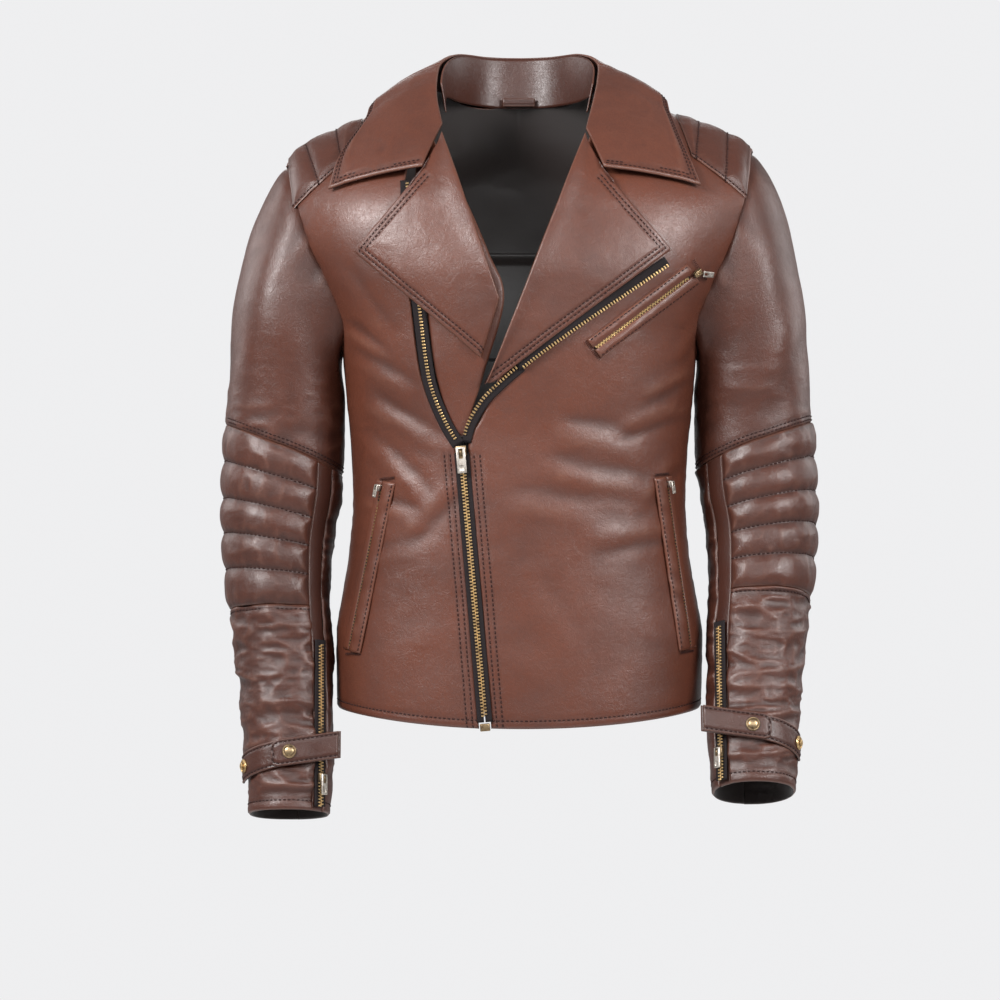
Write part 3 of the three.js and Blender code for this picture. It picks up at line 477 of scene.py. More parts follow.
# %% Hide tone: the group that colours leather
def hide_tone_group():
    tree, given, result = new_group("hide_tone", [
        ("Place", "Vector", None), ("Base", "Color", (0.18, 0.06, 0.04, 1)),
        ("Deep", "Color", (0.05, 0.015, 0.01, 1)),
        ("Worn", "Color", (0.4, 0.25, 0.2, 1)), ("Edge", "Float", 0.0), ("Fold", "Float", 0.0),
        ("Wear", "Float", 1.0)], [("Color", "Color"), ("Roughness", "Float")])
    n = Nodes(tree)
    cloud = n.noise(given["Place"], 7.0, 3.0, 0.6, 0.4)
    patch = n.noise(given["Place"], 26.0, 4.0, 0.65)
    speck = n.noise(given["Place"], 420.0, 2.0, 0.6)
    tone = n.math("ADD", n.math("MULTIPLY", cloud, 0.62), n.math("MULTIPLY", patch, 0.38))
    dark = n.range(tone, 0.40, 0.66)
    color = n.mix(n.math("MULTIPLY", dark, 0.42), given["Base"], given["Deep"])
    # painted shade: creases and sewn grooves (fold below 0) are darkened towards the Deep colour
    crease = n.range(given["Fold"], 0.0, -1.0)
    color = n.mix(n.math("MULTIPLY", crease, 0.45), color, given["Deep"])
    ridge_wear = n.math("MULTIPLY", n.range(given["Fold"], 0.15, 1.0), n.range(patch, 0.35, 0.65))
    edge_wear = n.math("MULTIPLY", n.range(given["Edge"], 0.25, 1.0), n.range(patch, 0.28, 0.6, 0.35, 1.0))
    wear = n.math("MAXIMUM", n.math("MULTIPLY", ridge_wear, 0.26), n.math("MULTIPLY", edge_wear, 0.30))
    wear = n.math("MULTIPLY", wear, given["Wear"], clamp=True)
    color = n.mix(wear, color, given["Worn"])
    color = n.mix(n.range(speck, 0.35, 0.75, 0.0, 0.22), color, given["Deep"])
    n.join(color, result["Color"])
    rough = n.math("ADD", n.range(patch, 0.3, 0.7, 0.29, 0.43), n.math("MULTIPLY", crease, 0.08))
    n.join(n.math("ADD", rough, n.range(speck, 0.3, 0.7, -0.03, 0.05)), result["Roughness"])
    return tree


HIDE_TONE = hide_tone_group()


# %% Hide grain: the group that gives leather its surface
def hide_grain_group():
    tree, given, result = new_group("hide_grain", [
        ("Place", "Vector", None), ("Strength", "Float", 1.0)], [("Normal", "Vector")])
    n = Nodes(tree)
    pores = n.add("TexVoronoi", feature="DISTANCE_TO_EDGE")
    n.join(given["Place"], pores.inputs["Vector"])
    pores.inputs["Scale"].default_value = 760
    pore = n.range(pores.outputs["Distance"], 0.0, 0.12)
    lines = n.math("ABSOLUTE", n.math("SUBTRACT", n.noise(given["Place"], 95.0, 5.0, 0.62, 0.9), 0.5))
    wrinkle = n.range(lines, 0.0, 0.07)
    soft = n.noise(given["Place"], 34.0, 3.0, 0.5, 0.3)
    height = n.math("ADD", n.math("MULTIPLY", pore, 0.10), n.math("MULTIPLY", wrinkle, 0.15))
    height = n.math("ADD", height, n.math("MULTIPLY", soft, 1.5))
    bump = n.add("Bump")
    n.put(bump.inputs["Strength"], given["Strength"])
    bump.inputs["Distance"].default_value = 0.0006
    n.join(height, bump.inputs["Height"])
    n.join(bump.outputs[0], result["Normal"])
    return tree


HIDE_GRAIN = hide_grain_group()


# %% Leather materials
HIDE_SHINE = 0.41


def leather(name, base, deep, worn, wear=1.0, strength=0.6):
    """One dyed hide. Colours are linear; deep also colours the painted shade in creases and sewn grooves;
    wear is how much the ridges and edges are rubbed.
    """
    material, n, shader = new_finish(name)
    place = n.add("TexCoord").outputs["Object"]
    tone = n.add("Group", node_tree=HIDE_TONE)
    grain = n.add("Group", node_tree=HIDE_GRAIN)
    n.join(place, tone.inputs["Place"])
    n.join(place, grain.inputs["Place"])
    for label, color in (("Base", base), ("Deep", deep), ("Worn", worn)):
        tone.inputs[label].default_value = (*color, 1)
    n.join(n.painted("edge"), tone.inputs["Edge"])
    n.join(n.painted("fold"), tone.inputs["Fold"])
    tone.inputs["Wear"].default_value = wear
    grain.inputs["Strength"].default_value = strength
    n.join(tone.outputs["Color"], shader.inputs["Base Color"])
    n.join(tone.outputs["Roughness"], shader.inputs["Roughness"])
    n.join(grain.outputs["Normal"], shader.inputs["Normal"])
    shader.inputs["Specular IOR Level"].default_value = HIDE_SHINE
    return material


BODY_HIDE = leather("body_hide", (0.090, 0.0275, 0.0155), (0.020, 0.0055, 0.0035), (0.22, 0.10, 0.066))
SLEEVE_HIDE = leather("sleeve_hide", (0.062, 0.0195, 0.0118), (0.012, 0.0036, 0.0025), (0.20, 0.096, 0.068),
                      strength=0.7)
QUILT_HIDE = leather("quilt_hide", (0.060, 0.0188, 0.0114), (0.012, 0.0036, 0.0025), (0.20, 0.096, 0.068),
                     strength=0.6)
COLLAR_HIDE = leather("collar_hide", (0.085, 0.0268, 0.0156), (0.020, 0.0056, 0.0038), (0.23, 0.115, 0.078))
TRIM_HIDE = leather("trim_hide", (0.048, 0.0148, 0.009), (0.010, 0.003, 0.002), (0.16, 0.072, 0.048))


# %% Lining satin
def satin():
    material, n, shader = new_finish("lining_satin")
    place = n.add("TexCoord").outputs["Object"]
    wave = n.add("TexWave", wave_type="BANDS", bands_direction="DIAGONAL")
    n.join(place, wave.inputs["Vector"])
    wave.inputs["Scale"].default_value = 900
    n.join(n.mix(wave.outputs["Fac"], (0.030, 0.020, 0.018, 1), (0.016, 0.011, 0.010, 1)),
           shader.inputs["Base Color"])
    shader.inputs["Roughness"].default_value = 0.42
    shader.inputs["Sheen Weight"].default_value = 0.3
    return material


SATIN = satin()

# %% [markdown]
# ## Leather panels
# A panel is a grid laid on the jacket's form, as thick as the hide with its interlining. It is built in
# mesh code, because a garment panel is a draped sheet and not a block: its edges turn down into the seam,
# its sewn lines sink, and its folds lift.


# %% Build one panel
GROOVE_DEPTH, GROOVE_WIDTH = 0.7, 1.5


def nearest(points, line):
    """Distance from each point to a dense line of points."""
    best = np.full(len(points), 1e9)
    for k in range(0, len(points), 4000):
        block = points[k:k + 4000]
        best[k:k + 4000] = np.sqrt(((block[:, None] - line[None]) ** 2).sum(-1).min(1))
    return best


def grid_normals(p, ring):
    """Normals of a grid of points (rows, columns, 3); a ring's columns close on themselves."""
    if ring:
        du = np.roll(p, -1, axis=1) - np.roll(p, 1, axis=1)
    else:
        du = np.gradient(p, axis=1)
    n = np.cross(du, np.gradient(p, axis=0))
    return n / np.maximum(np.linalg.norm(n, axis=-1, keepdims=True), 1e-9)


def edge_distance(p, ring):
    """Distance in millimetres from each grid point to the panel's nearest edge."""
    rows = np.linalg.norm(np.diff(p, axis=0), axis=-1)
    run = np.vstack([np.zeros((1, p.shape[1])), np.cumsum(rows, axis=0)])
    far = np.minimum(run, run[-1:] - run)
    if ring:
        return far
    columns = np.linalg.norm(np.diff(p, axis=1), axis=-1)
    across = np.hstack([np.zeros((p.shape[0], 1)), np.cumsum(columns, axis=1)])
    return np.minimum(far, np.minimum(across, across[:, -1:] - across))


def grid_faces(rows, columns, ring):
    """Faces of a closed sheet: an outer grid, an inner grid and the walls between their borders."""
    wide = columns if ring else columns - 1
    count = rows * columns
    j, i = np.meshgrid(np.arange(rows - 1), np.arange(wide), indexing="ij")
    a = j * columns + i
    b = j * columns + (i + 1) % columns
    outer = np.stack([a, b, b + columns, a + columns], -1).reshape(-1, 4)
    inner = outer[:, ::-1] + count
    i = np.arange(wide)
    k = (i + 1) % columns
    top = (rows - 1) * columns
    walls = [np.stack([i, i + count, k + count, k], -1),
             np.stack([top + k, top + k + count, top + i + count, top + i], -1)]
    if not ring:
        j = np.arange(rows - 1) * columns
        right = j + columns - 1
        walls.append(np.stack([j + columns, j + columns + count, j + count, j], -1))
        walls.append(np.stack([right, right + count, right + columns + count, right + columns], -1))
    return np.vstack([outer, inner] + walls)


PANELS = {}
NARROWEST = 0.0102  # metres: the least flat width given to a sheet's cut size; the least flat width that a sheet is declared with


def write_mesh(name, points, faces, material, paint=None, smooth=True, backing=None):
    """A mesh object from points in millimetres, with its painted attributes."""
    mesh = bpy.data.meshes.new(name)
    mesh.from_pydata((points * MM).tolist(), [], faces.tolist() if hasattr(faces, "tolist") else faces)
    mesh.update()
    for key, values in (paint or {}).items():
        mesh.attributes.new(key, "FLOAT", "POINT").data.foreach_set("value", values.astype(np.float32))
    piece = bpy.data.objects.new(name, mesh)
    scene.collection.objects.link(piece)
    mesh.materials.append(material)
    if backing:
        mesh.materials.append(backing[0])
        index = np.zeros(len(faces), np.int32)
        index[backing[1]:2 * backing[1]] = 1
        mesh.polygons.foreach_set("material_index", index)
    mesh.shade_smooth() if smooth else mesh.shade_flat()
    return piece


def signed_volume(points, faces):
    """Above zero when the four-cornered faces look outwards."""
    a, b, c, d = (points[faces[:, k]] for k in range(4))
    return float((a * np.cross(b, c)).sum() + (a * np.cross(c, d)).sum())


def panel(name, shape, columns, rows, material, thick=2.2, ring=False, relief=None, sewn=(), roll=1.5,
          held="stretched", inside=None, backing=None):
    """A leather panel. shape(u, v) gives its outer face; relief(points, u, v) lifts it, in millimetres."""
    u = np.linspace(0, 1, columns + 1)
    u = u[:-1] if ring else u
    v = np.linspace(0, 1, rows + 1)
    U, V = np.meshgrid(u, v)
    base = shape(U, V)
    n = grid_normals(base, ring)
    centre = base.reshape(-1, 3).mean(0) if inside is None else np.array(inside, float)
    if ((base - centre) * n).sum() < 0:
        n = -n
    edge = edge_distance(base, ring)
    flat = base.reshape(-1, 3)
    groove = np.zeros(U.shape)
    for line in sewn:
        d = nearest(flat, line).reshape(U.shape)
        groove -= GROOVE_DEPTH * np.exp(-(d / GROOVE_WIDTH) ** 2)
    lift = np.zeros(U.shape)
    if relief is not None:
        lift = relief(flat, U.ravel(), V.ravel()).reshape(U.shape)
    height = lift + groove
    turned = np.clip(1 - edge / (roll * 1.6), 0, 1)
    height -= roll * (1 - np.sqrt(np.maximum(0, 1 - turned**2)))
    smooth_lift = lift.copy()
    for _ in range(6):
        smooth_lift[1:-1] = (smooth_lift[:-2] + 2 * smooth_lift[1:-1] + smooth_lift[2:]) / 4
        smooth_lift[:, 1:-1] = (smooth_lift[:, :-2] + 2 * smooth_lift[:, 1:-1] + smooth_lift[:, 2:]) / 4
    # fold above 0 drives rubbed wear on ridges; below 0, in creases and sewn grooves, it drives painted shade
    # in hide_tone
    fold = np.clip((lift - smooth_lift) / 0.35, -1, 1) + np.clip(groove / GROOVE_DEPTH, -1, 0) * 0.8
    outer = base + n * height[..., None]
    inner = base + n * (np.minimum(lift, 1.5) - thick)[..., None]
    points = np.vstack([outer.reshape(-1, 3), inner.reshape(-1, 3)])
    faces = grid_faces(U.shape[0], U.shape[1], ring)
    if signed_volume(points, faces) < 0:
        faces = faces[:, ::-1]
    rim = np.exp(-(edge / 1.6) ** 2).ravel()
    paint = {"edge": np.r_[rim, rim * 0], "fold": np.r_[np.clip(fold, -1, 1).ravel(), 0 * rim]}
    count = (U.shape[0] - 1) * (U.shape[1] if ring else U.shape[1] - 1)
    piece = write_mesh(name, points, faces, material, paint, backing=(backing or SATIN, count))
    wide = float(np.linalg.norm(np.diff(base, axis=1), axis=-1).sum(1).mean())
    long = float(np.linalg.norm(np.diff(base, axis=0), axis=-1).sum(0).mean())
    PANELS[name] = {"piece": piece, "size": (wide * MM, long * MM), "held": held}
    return piece


def wear_on(piece, body=None, blend=None, replaces=(), sheet=True):
    """Puts a finished piece on its body; a piece that spans the joint between two bodies is baked in place
    instead.
    """
    if blend:
        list(blend[:2])
        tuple(blend[2])
        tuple(blend[3])
        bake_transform(piece)
    else:
        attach(piece, body)
    if replaces:
        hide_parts(*replaces)
    facts = PANELS.get(piece.name)
    if facts:
        facts.update(body=body, blend=blend)
        if sheet:
            cut = tuple(max(length, NARROWEST) for length in facts["size"])
    return piece


# %% [markdown]
# ## Stitches
# Topstitching is thread, so each stitch is a small rounded bar that sinks into the leather at both ends.
# A row is one mesh: the bar is modelled once and copied along the line, snapped to the finished panel.

# %% Sew a row
THREAD_PITCH, THREAD_LENGTH, THREAD_RADIUS, THREAD_RISE = 4.3, 3.1, 0.55, 0.3


def thread_material():
    material, n, shader = new_finish("thread")
    place = n.add("TexCoord").outputs["Object"]
    shade = n.noise(place, 900.0, 2.0)
    n.join(n.mix(shade, (0.026, 0.007, 0.005, 1), (0.009, 0.003, 0.003, 1)), shader.inputs["Base Color"])
    shader.inputs["Roughness"].default_value = 0.7
    shader.inputs["Specular IOR Level"].default_value = 0.2
    return material


THREAD = thread_material()


def bar_template(length, radius, sides=6):
    """A rounded bar along x, as points and faces."""
    rings = [(-0.5, 0.35), (-0.34, 1.0), (0.34, 1.0), (0.5, 0.35)]
    points = [(x * length, radius * r * math.cos(2 * math.pi * k / sides),
               radius * r * math.sin(2 * math.pi * k / sides)
               - (radius * 1.6 if r < 1 else 0)) for x, r in rings for k in range(sides)]
    faces = [[j * sides + k, j * sides + (k + 1) % sides, (j + 1) * sides + (k + 1) % sides,
              (j + 1) * sides + k]
             for j in range(len(rings) - 1) for k in range(sides)]
    faces += [list(range(sides))[::-1], [(len(rings) - 1) * sides + k for k in range(sides)]]
    return np.array(points), faces


def copies(name, template, places, material, smooth=True):
    """One mesh of many copies of a small shape; places are (origin, x, y, z) frames in millimetres."""
    points, faces = template
    every, all_faces = [], []
    for k, (origin, x, y, z) in enumerate(places):
        every.append(points @ np.array([x, y, z]) + origin)
        all_faces += [[i + k * len(points) for i in f] for f in faces]
    return write_mesh(name, np.vstack(every), all_faces, material, smooth=smooth)


def snap_to(piece, points):
    """The nearest points of a piece and its normals there, in millimetres."""
    mesh = piece.data
    tree = BVHTree.FromPolygons([v.co for v in mesh.vertices], [p.vertices for p in mesh.polygons])
    found = [tree.find_nearest(Vector(p * MM)) for p in points]
    return np.array([f[0] for f in found]) / MM, np.array([f[1] for f in found])


def resample(line, pitch):
    """Points one pitch apart along a line."""
    run = np.r_[0, np.cumsum(np.linalg.norm(np.diff(line, axis=0), axis=1))]
    count = max(2, int(run[-1] / pitch))
    s = (np.arange(count) + 0.5) * run[-1] / count
    return np.stack([np.interp(s, run, line[:, k]) for k in range(3)], -1)


def sew(name, piece, lines, pitch=THREAD_PITCH):
    """Rows of stitches on a finished panel; they move as the panel does."""
    places = []
    for line in lines:
        mid = resample(line, pitch)
        at, up = snap_to(piece, mid)
        ahead = np.gradient(mid, axis=0)
        for p, n, t in zip(at, up, ahead):
            t = t - n * (t @ n)
            t /= max(np.linalg.norm(t), 1e-9)
            places.append((p + n * THREAD_RISE, t, np.cross(n, t), n))
    thread = copies(name, bar_template(THREAD_LENGTH, THREAD_RADIUS), places, THREAD)
    facts = PANELS[piece.name]
    if facts["blend"]:
        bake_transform(thread)
    else:
        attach(thread, facts["body"])
    print(name, len(places), "stitches")
    return thread


# %% [markdown]
# ## Torso
# The fronts, back and yoke are cut from one hide and sewn edge to edge. A front panel is drawn as a patch
# between four edges: the hem, the side seam with its armhole, the shoulder and the zip edge. That is how
# the pattern piece is cut, so its edges fall on the seams. Creases are laid on as folded ridges: wear
# pulls a jacket into long soft folds at the waist, and short crisp ones near its seams.

# %% Creases
SIDE_ANGLE = math.pi / 2 - 0.001
UNDERARM_SHARE = 0.62  # how far up a side edge the armhole begins


def fold_field(points, folds):
    """Height of listed folds. A fold is (start, end, width, height): a ridge above, a valley beside it."""
    total = np.zeros(len(points))
    for a, b, width, height in folds:
        a, b = np.array(a, float), np.array(b, float)
        d = b - a
        length = np.linalg.norm(d)
        d /= length
        q = points[:, [0, 2]] - a
        s = q @ d
        off = q @ np.array([-d[1], d[0]])
        off = off + noise(points * np.array([1, 0.4, 1]), 60, seed=abs(height)) * width * 0.5
        fade = ramp(s, -0.12 * length, 0.28 * length) * (1 - ramp(s, 0.62 * length, 1.12 * length))
        shape = np.exp(-(off / width) ** 2) - 0.7 * np.exp(-((off - width * 1.5) / (width * 0.8)) ** 2)
        total += height * fade * shape
    return total


def crumple(points, size, height, stretch=(1, 1, 1), seed=0.0, crisp=1.0):
    """Crisp wrinkles: ridged noise, sharp at the crest and soft in the hollow."""
    q = points / np.array(stretch)
    warp = np.stack([noise(q, size * 1.7, seed + 3), noise(q, size * 1.7, seed + 5),
                     noise(q, size * 1.7, seed + 9)], -1)
    a = noise(q + warp * size * 0.45, size, seed)
    b = noise(q + warp * size * 0.3, size * 0.52, seed + 11)
    ridged = (1 - np.abs(a) * 1.6 * crisp) * 0.7 + (1 - np.abs(b) * 1.6 * crisp) * 0.3
    return height * ridged


def soft_waves(points, seed=0.0, height=1.0):
    return height * (noise(points, 70, seed) + 0.5 * noise(points, 33, seed + 2))


def patch(bottom, top, inner, outer):
    """A surface between four edges: bottom and top run inner to outer, inner and outer run upwards."""
    def shape(u, v):
        u, v = u[..., None], v[..., None]
        b, t = bottom(u[..., 0]), top(u[..., 0])
        i, o = inner(v[..., 0]), outer(v[..., 0])
        corners = (1 - u) * (1 - v) * bottom(np.zeros(1))[0] + u * (1 - v) * bottom(np.ones(1))[0]
        corners = corners + (1 - u) * v * top(np.zeros(1))[0] + u * v * top(np.ones(1))[0]
        return (1 - v) * b + v * t + (1 - u) * i + u * o - corners
    return shape


def hem_z(angle):
    return HEM_Z + HEM_RISE * np.sin(angle) ** 2


def hem_edge(low, high):
    return lambda t: np.stack([low + (high - low) * t, hem_z(low + (high - low) * t)], -1)


def shoulder_edge(low, high):
    def edge(t):
        x = low + (high - low) * t
        return np.stack([angle_of(x, ridge(x)), ridge(x) - 0.004], -1)
    return edge


def side_edge(side, key):
    path = ARMHOLES[side, key]

    def edge(t):
        t = np.asarray(t, float)
        s = np.clip((t - UNDERARM_SHARE) / (1 - UNDERARM_SHARE), 0, 1)
        p = path(s)
        angle = np.minimum(np.abs(angle_of(p[..., 0] - side * 0.5, p[..., 1])), SIDE_ANGLE) * side
        z = np.minimum(p[..., 1], ridge(p[..., 0]) - 0.004)
        low = t < UNDERARM_SHARE
        hem = hem_z(math.pi / 2)
        seam = hem + (UNDERARM_Z - hem) * t / UNDERARM_SHARE
        return np.stack([np.where(low, side * SIDE_ANGLE, angle), np.where(low, seam, z)], -1)
    return edge


def to_angle(curve):
    return lambda t: np.stack([angle_of(curve(t)[..., 0], curve(t)[..., 1]), curve(t)[..., 1]], -1)


def on_form(face, shape, lift=0.0, top=None):
    """Turns a patch of (angle, height) into points on the form.

    top is the height that its last row is sewn to."""
    def points(u, v):
        if top:
            v = 1 - (1 - v) * (1 - 0.93 * ramp(v, 0.78, 1.0))
        q = shape(u, v)
        if top:
            x = half_width(q[..., 1]) * np.sin(q[..., 0])
            z = q[..., 1] + ramp(v, 0.93, 1.0) * (top(x) - 0.0005 - q[..., 1])
            q = np.stack([angle_of(x, z), z], -1)
        raised = np.broadcast_to(np.asarray(lift(u, v) if callable(lift) else lift, float), q[..., 0].shape)
        angle, height = q[..., 0], q[..., 1]
        return on_body(face, angle, height) + body_normal(face, angle, height) * raised[..., None]
    return points


BODY_CENTRE = (0, -74, -300)
ZIP_EDGE = 5.6
NECK_FRONT = {RIGHT: (-NECK, 5.2), LEFT: (NECK, 8.0)}
FRONT_EDGE = {
    RIGHT: [(-32.5 - ZIP_EDGE, HEM_Z + 1), (-43 - ZIP_EDGE, -475), (-54 - ZIP_EDGE, -350),
            (-70 - ZIP_EDGE, -322),
            (-83 - ZIP_EDGE, -291), (-90 - ZIP_EDGE, -262), (-97 - ZIP_EDGE, -206), (-106 - ZIP_EDGE, -140),
            (-101, -60), NECK_FRONT[RIGHT]],
    LEFT: [(-32.5 + ZIP_EDGE, HEM_Z + 1), (-43 + ZIP_EDGE, -475), (-54 + ZIP_EDGE, -352), (-36, -316),
           (-20, -280), (2, -205), (27, -140), (50, -88), (66, -50), NECK_FRONT[LEFT]]}
ZIP_TOP, ZIP_BOTTOM = (-54, -350), (-32.5, -600)
HAND_POCKET = {RIGHT: ((-125, -376), (-158, -536)), LEFT: ((134, -372), (158, -534))}
CHEST_LOW, CHEST_HIGH = (68, -254), (161, -182)
FOLDS = {
    RIGHT: [((-150, -300), (-72, -352), 9, 2.6), ((-152, -330), (-84, -400), 8, 2.2),
            ((-155, -262), (-100, -300), 8, 2.0),
            ((-60, -372), (-118, -440), 9, 1.6), ((-150, -392), (-96, -412), 7, 1.6),
            ((-152, -452), (-90, -440), 9, 1.4),
            ((-165, -230), (-125, -262), 6, 1.8), ((-150, -560), (-70, -520), 14, 1.2),
            ((-172, -180), (-128, -240), 7, 1.5)],
    LEFT: [((30, -330), (110, -352), 11, 2.6), ((20, -362), (128, -392), 10, 2.4),
           ((150, -300), (80, -330), 8, 2.0),
           ((-20, -402), (70, -410), 12, 1.8), ((150, -412), (60, -430), 9, 1.7),
           ((158, -268), (110, -300), 7, 1.7),
           ((0, -470), (60, -560), 13, 1.4), ((170, -222), (142, -262), 6, 1.6),
           ((150, -350), (112, -396), 7, 1.8)]}


def torso_relief(folds, seed, amount=1.0):
    def relief(points, u, v):
        low = ramp(-points[:, 2], 230, 330)
        calm = 1 - 0.55 * ramp(-points[:, 2], 430, 520)
        h = soft_waves(points, seed, 1.0) + fold_field(points, folds) * amount * 0.62 * calm
        h += crumple(points, 24, 0.42, (1.5, 1, 0.8), seed) * (0.2 + 0.6 * low) * calm
        puckers = noise(points * np.array([0.3, 0.3, 1]), 7, seed + 4) * np.exp(-((1 - u) / 0.05) ** 2) * 0.6
        return (h + puckers) * amount
    return relief


def beside(points, offset, count=160, start=0.0, end=1.0, bent=True):
    """The same line moved sideways on the flat by offset millimetres (to the right of its direction)."""
    path = curve_through(points) if bent else straight_through(points)
    p = path(np.linspace(start, end, count))
    d = np.gradient(p, axis=0)
    d /= np.linalg.norm(d, axis=1, keepdims=True)
    return p + np.stack([d[:, 1], -d[:, 0]], -1) * offset


def front_line(flat, lift=0.0):
    return on_front(flat[:, 0], flat[:, 1], lift)


# %% Front panels and underlap
quick_grid = 1.0


def grid(columns, rows):
    return max(12, int(columns * quick_grid)), max(12, int(rows * quick_grid))


ZIP_ROWS = {side: [beside(FRONT_EDGE[side][:3], o * side, bent=False) for o in (5.5, 11)]
            for side in (RIGHT, LEFT)}
for side in (RIGHT, LEFT):
    edge = to_angle(curve_through(FRONT_EDGE[side]))
    low = float(edge(np.zeros(1))[0, 0])
    shape = patch(hem_edge(low, side * SIDE_ANGLE), shoulder_edge(side * NECK, side * (SHOULDER - 0.5)), edge,
                  side_edge(side, "f"))
    hem = np.array([[half_width(HEM_Z) * math.sin(a), hem_z(a) + 8] for a in
                    np.linspace(low, side * (SIDE_ANGLE - 0.03), 120)])
    rows = ZIP_ROWS[side] + [hem]
    lines = [front_line(r) for r in rows]
    piece = panel(f"{SIDE[side]}_front_leather", on_form(FRONT, shape, 0.1, ridge), *grid(120, 215),
                  BODY_HIDE, relief=torso_relief(FOLDS[side], 3 + side), sewn=lines, inside=BODY_CENTRE)
    wear_on(piece, "torso", replaces=(f"{SIDE[side]}_front_panel",))
    sew(f"{SIDE[side]}_front_stitches", piece, lines)


def between(left, right):
    """A surface between two flat curves of the front, v running along them."""
    a, b = curve_through(left), curve_through(right)

    def shape(u, v):
        p = a(v) * (1 - u[..., None]) + b(v) * u[..., None]
        return np.stack([angle_of(p[..., 0], p[..., 1]), p[..., 1]], -1)
    return shape


UNDER_LEFT = [(-58, -336), (-70, -310), (-76, -290), (-82, -262), (-89, -206), (-98, -140), (-98, -60)]
UNDER_RIGHT = [(-50, -334), (-43, -306), (-33, -275), (-15, -208), (-29, -165), (-56, -102), (-82, -52)]
piece = panel("right_underlap_leather", on_form(FRONT, between(UNDER_LEFT, UNDER_RIGHT), -1.2),
              *grid(24, 90), BODY_HIDE,
              thick=1.6, relief=lambda p, u, v: soft_waves(p, 8, 0.4), inside=BODY_CENTRE)
wear_on(piece, "torso", replaces=("right_underlap",))

# %% Back panel and yoke
YOKE_Z, YOKE_REACH = -150, 227.5
BACK_LIMIT = [(-243, 172), (-222, 176), (-188, 192), (-150, 207), (-110, 218), (-58, 228)]


def back_limit(z):
    z = np.asarray(z, float)
    above = along(BACK_LIMIT, z) - 0.5
    return np.where(z < UNDERARM_Z, half_width(z) * math.sin(SIDE_ANGLE),
                    np.minimum(above, half_width(z) * 0.9999))


def back_shape(low, high):
    def shape(u, v):
        across = 2 * u - 1
        z0 = low(across)
        z = z0 + (high(across) - z0) * v
        limit = angle_of(back_limit(z), z)
        return np.stack([across * limit, z], -1)
    return shape


def yoke_top(across):
    x = np.abs(across) * YOKE_REACH
    neck = 1 - np.clip(x / NECK, 0, 1) ** 2
    return ridge(across * YOKE_REACH) - 0.004 - neck * 36


def yoke_shape(u, v):
    across = 2 * u - 1
    top = yoke_top(across)
    z = YOKE_Z + (top - YOKE_Z) * v
    mid = np.maximum(back_limit(z), 0)
    x = across * (np.minimum(mid, YOKE_REACH) * (1 - v**8) + YOKE_REACH * v**8)
    return np.stack([angle_of(x, z), z], -1)


BACK_FOLDS = [((-120, -420), (-20, -380), 14, 2.4), ((20, -372), (130, -410), 13, 2.2),
              ((-140, -300), (-70, -330), 10, 1.8),
              ((140, -290), (60, -340), 11, 1.8), ((-60, -460), (70, -450), 16, 1.6),
              ((-150, -520), (-60, -560), 15, 1.3)]
back_low = lambda across: hem_z(across * SIDE_ANGLE)
back_hem = np.stack([np.linspace(-0.98, 0.98, 160) * 175, np.zeros(160)], -1)
back_hem = on_body(BACK, angle_of(back_hem[:, 0], HEM_Z), hem_z(angle_of(back_hem[:, 0], HEM_Z)) + 8)
piece = panel("back_leather", on_form(BACK, back_shape(back_low, lambda a: YOKE_Z + 5 + 0 * a),
              lambda u, v: 0.1 - 2.4 * ramp(v, 0.975, 0.99)), *grid(150, 170),
              BODY_HIDE, relief=torso_relief(BACK_FOLDS, 9), sewn=[back_hem], inside=BODY_CENTRE)
wear_on(piece, "torso", replaces=("back_panel",))
sew("back_hem_stitches", piece, [back_hem])
x = np.linspace(-198, 198, 200)
yoke_rows = [on_body(BACK, angle_of(x, YOKE_Z + o), YOKE_Z + o + 0 * x) for o in (4, 9.5)]
piece = panel("yoke_leather", on_form(BACK, yoke_shape, 0.1, lambda x: yoke_top(x / YOKE_REACH)),
              *grid(150, 90),
              BODY_HIDE,
              relief=lambda p, u, v: soft_waves(p, 12, 0.8) + crumple(p, 30, 0.3, seed=2), sewn=yoke_rows,
              inside=BODY_CENTRE)
wear_on(piece, "torso", replaces=("back_yoke",))
sew("yoke_stitches", piece, yoke_rows)

# %% [markdown]
# ## Linings
# A woven satin lining hangs inside the leather, cut a little smaller. It shows at the hem and neck only,
# so a plain smooth sheet with a fine weave is enough.

# %% Lining sheets
LINING_LIFT = -3.9


def lining_shape(face, low, high, top):
    def shape(u, v):
        a = low + (high - low) * u
        z = hem_z(a) + 12 + (top - hem_z(a) - 12) * v
        return np.stack([a, z], -1)
    return on_form(face, shape, LINING_LIFT)


wide = SIDE_ANGLE - 0.02
for name, face, low, high in (("back_lining", BACK, -wide, wide),
                              ("right_front_lining", FRONT, -wide, float(angle_of(-78, -430))),
                              ("left_front_lining", FRONT, float(angle_of(10, -430)), wide)):
    piece = panel(name + "_satin", lining_shape(face, low, high, -252), *grid(60, 70), SATIN, thick=0.8,
                  relief=lambda p, u, v: -np.abs(soft_waves(p, 5, 0.4)), roll=0.4, inside=BODY_CENTRE)
    wear_on(piece, "torso", replaces=(name,))
print("torso", len(PANELS), "panels")

# %% [markdown]
# ## Collar
# The collar is a shirt collar in leather. The fall rolls out of the neck seam, over its highest line and
# down to a topstitched edge, and its two front ends are free wings. The stand is inside it. The surface
# is swept between the roll line and the outer edge through a raised middle, so the leather arches.

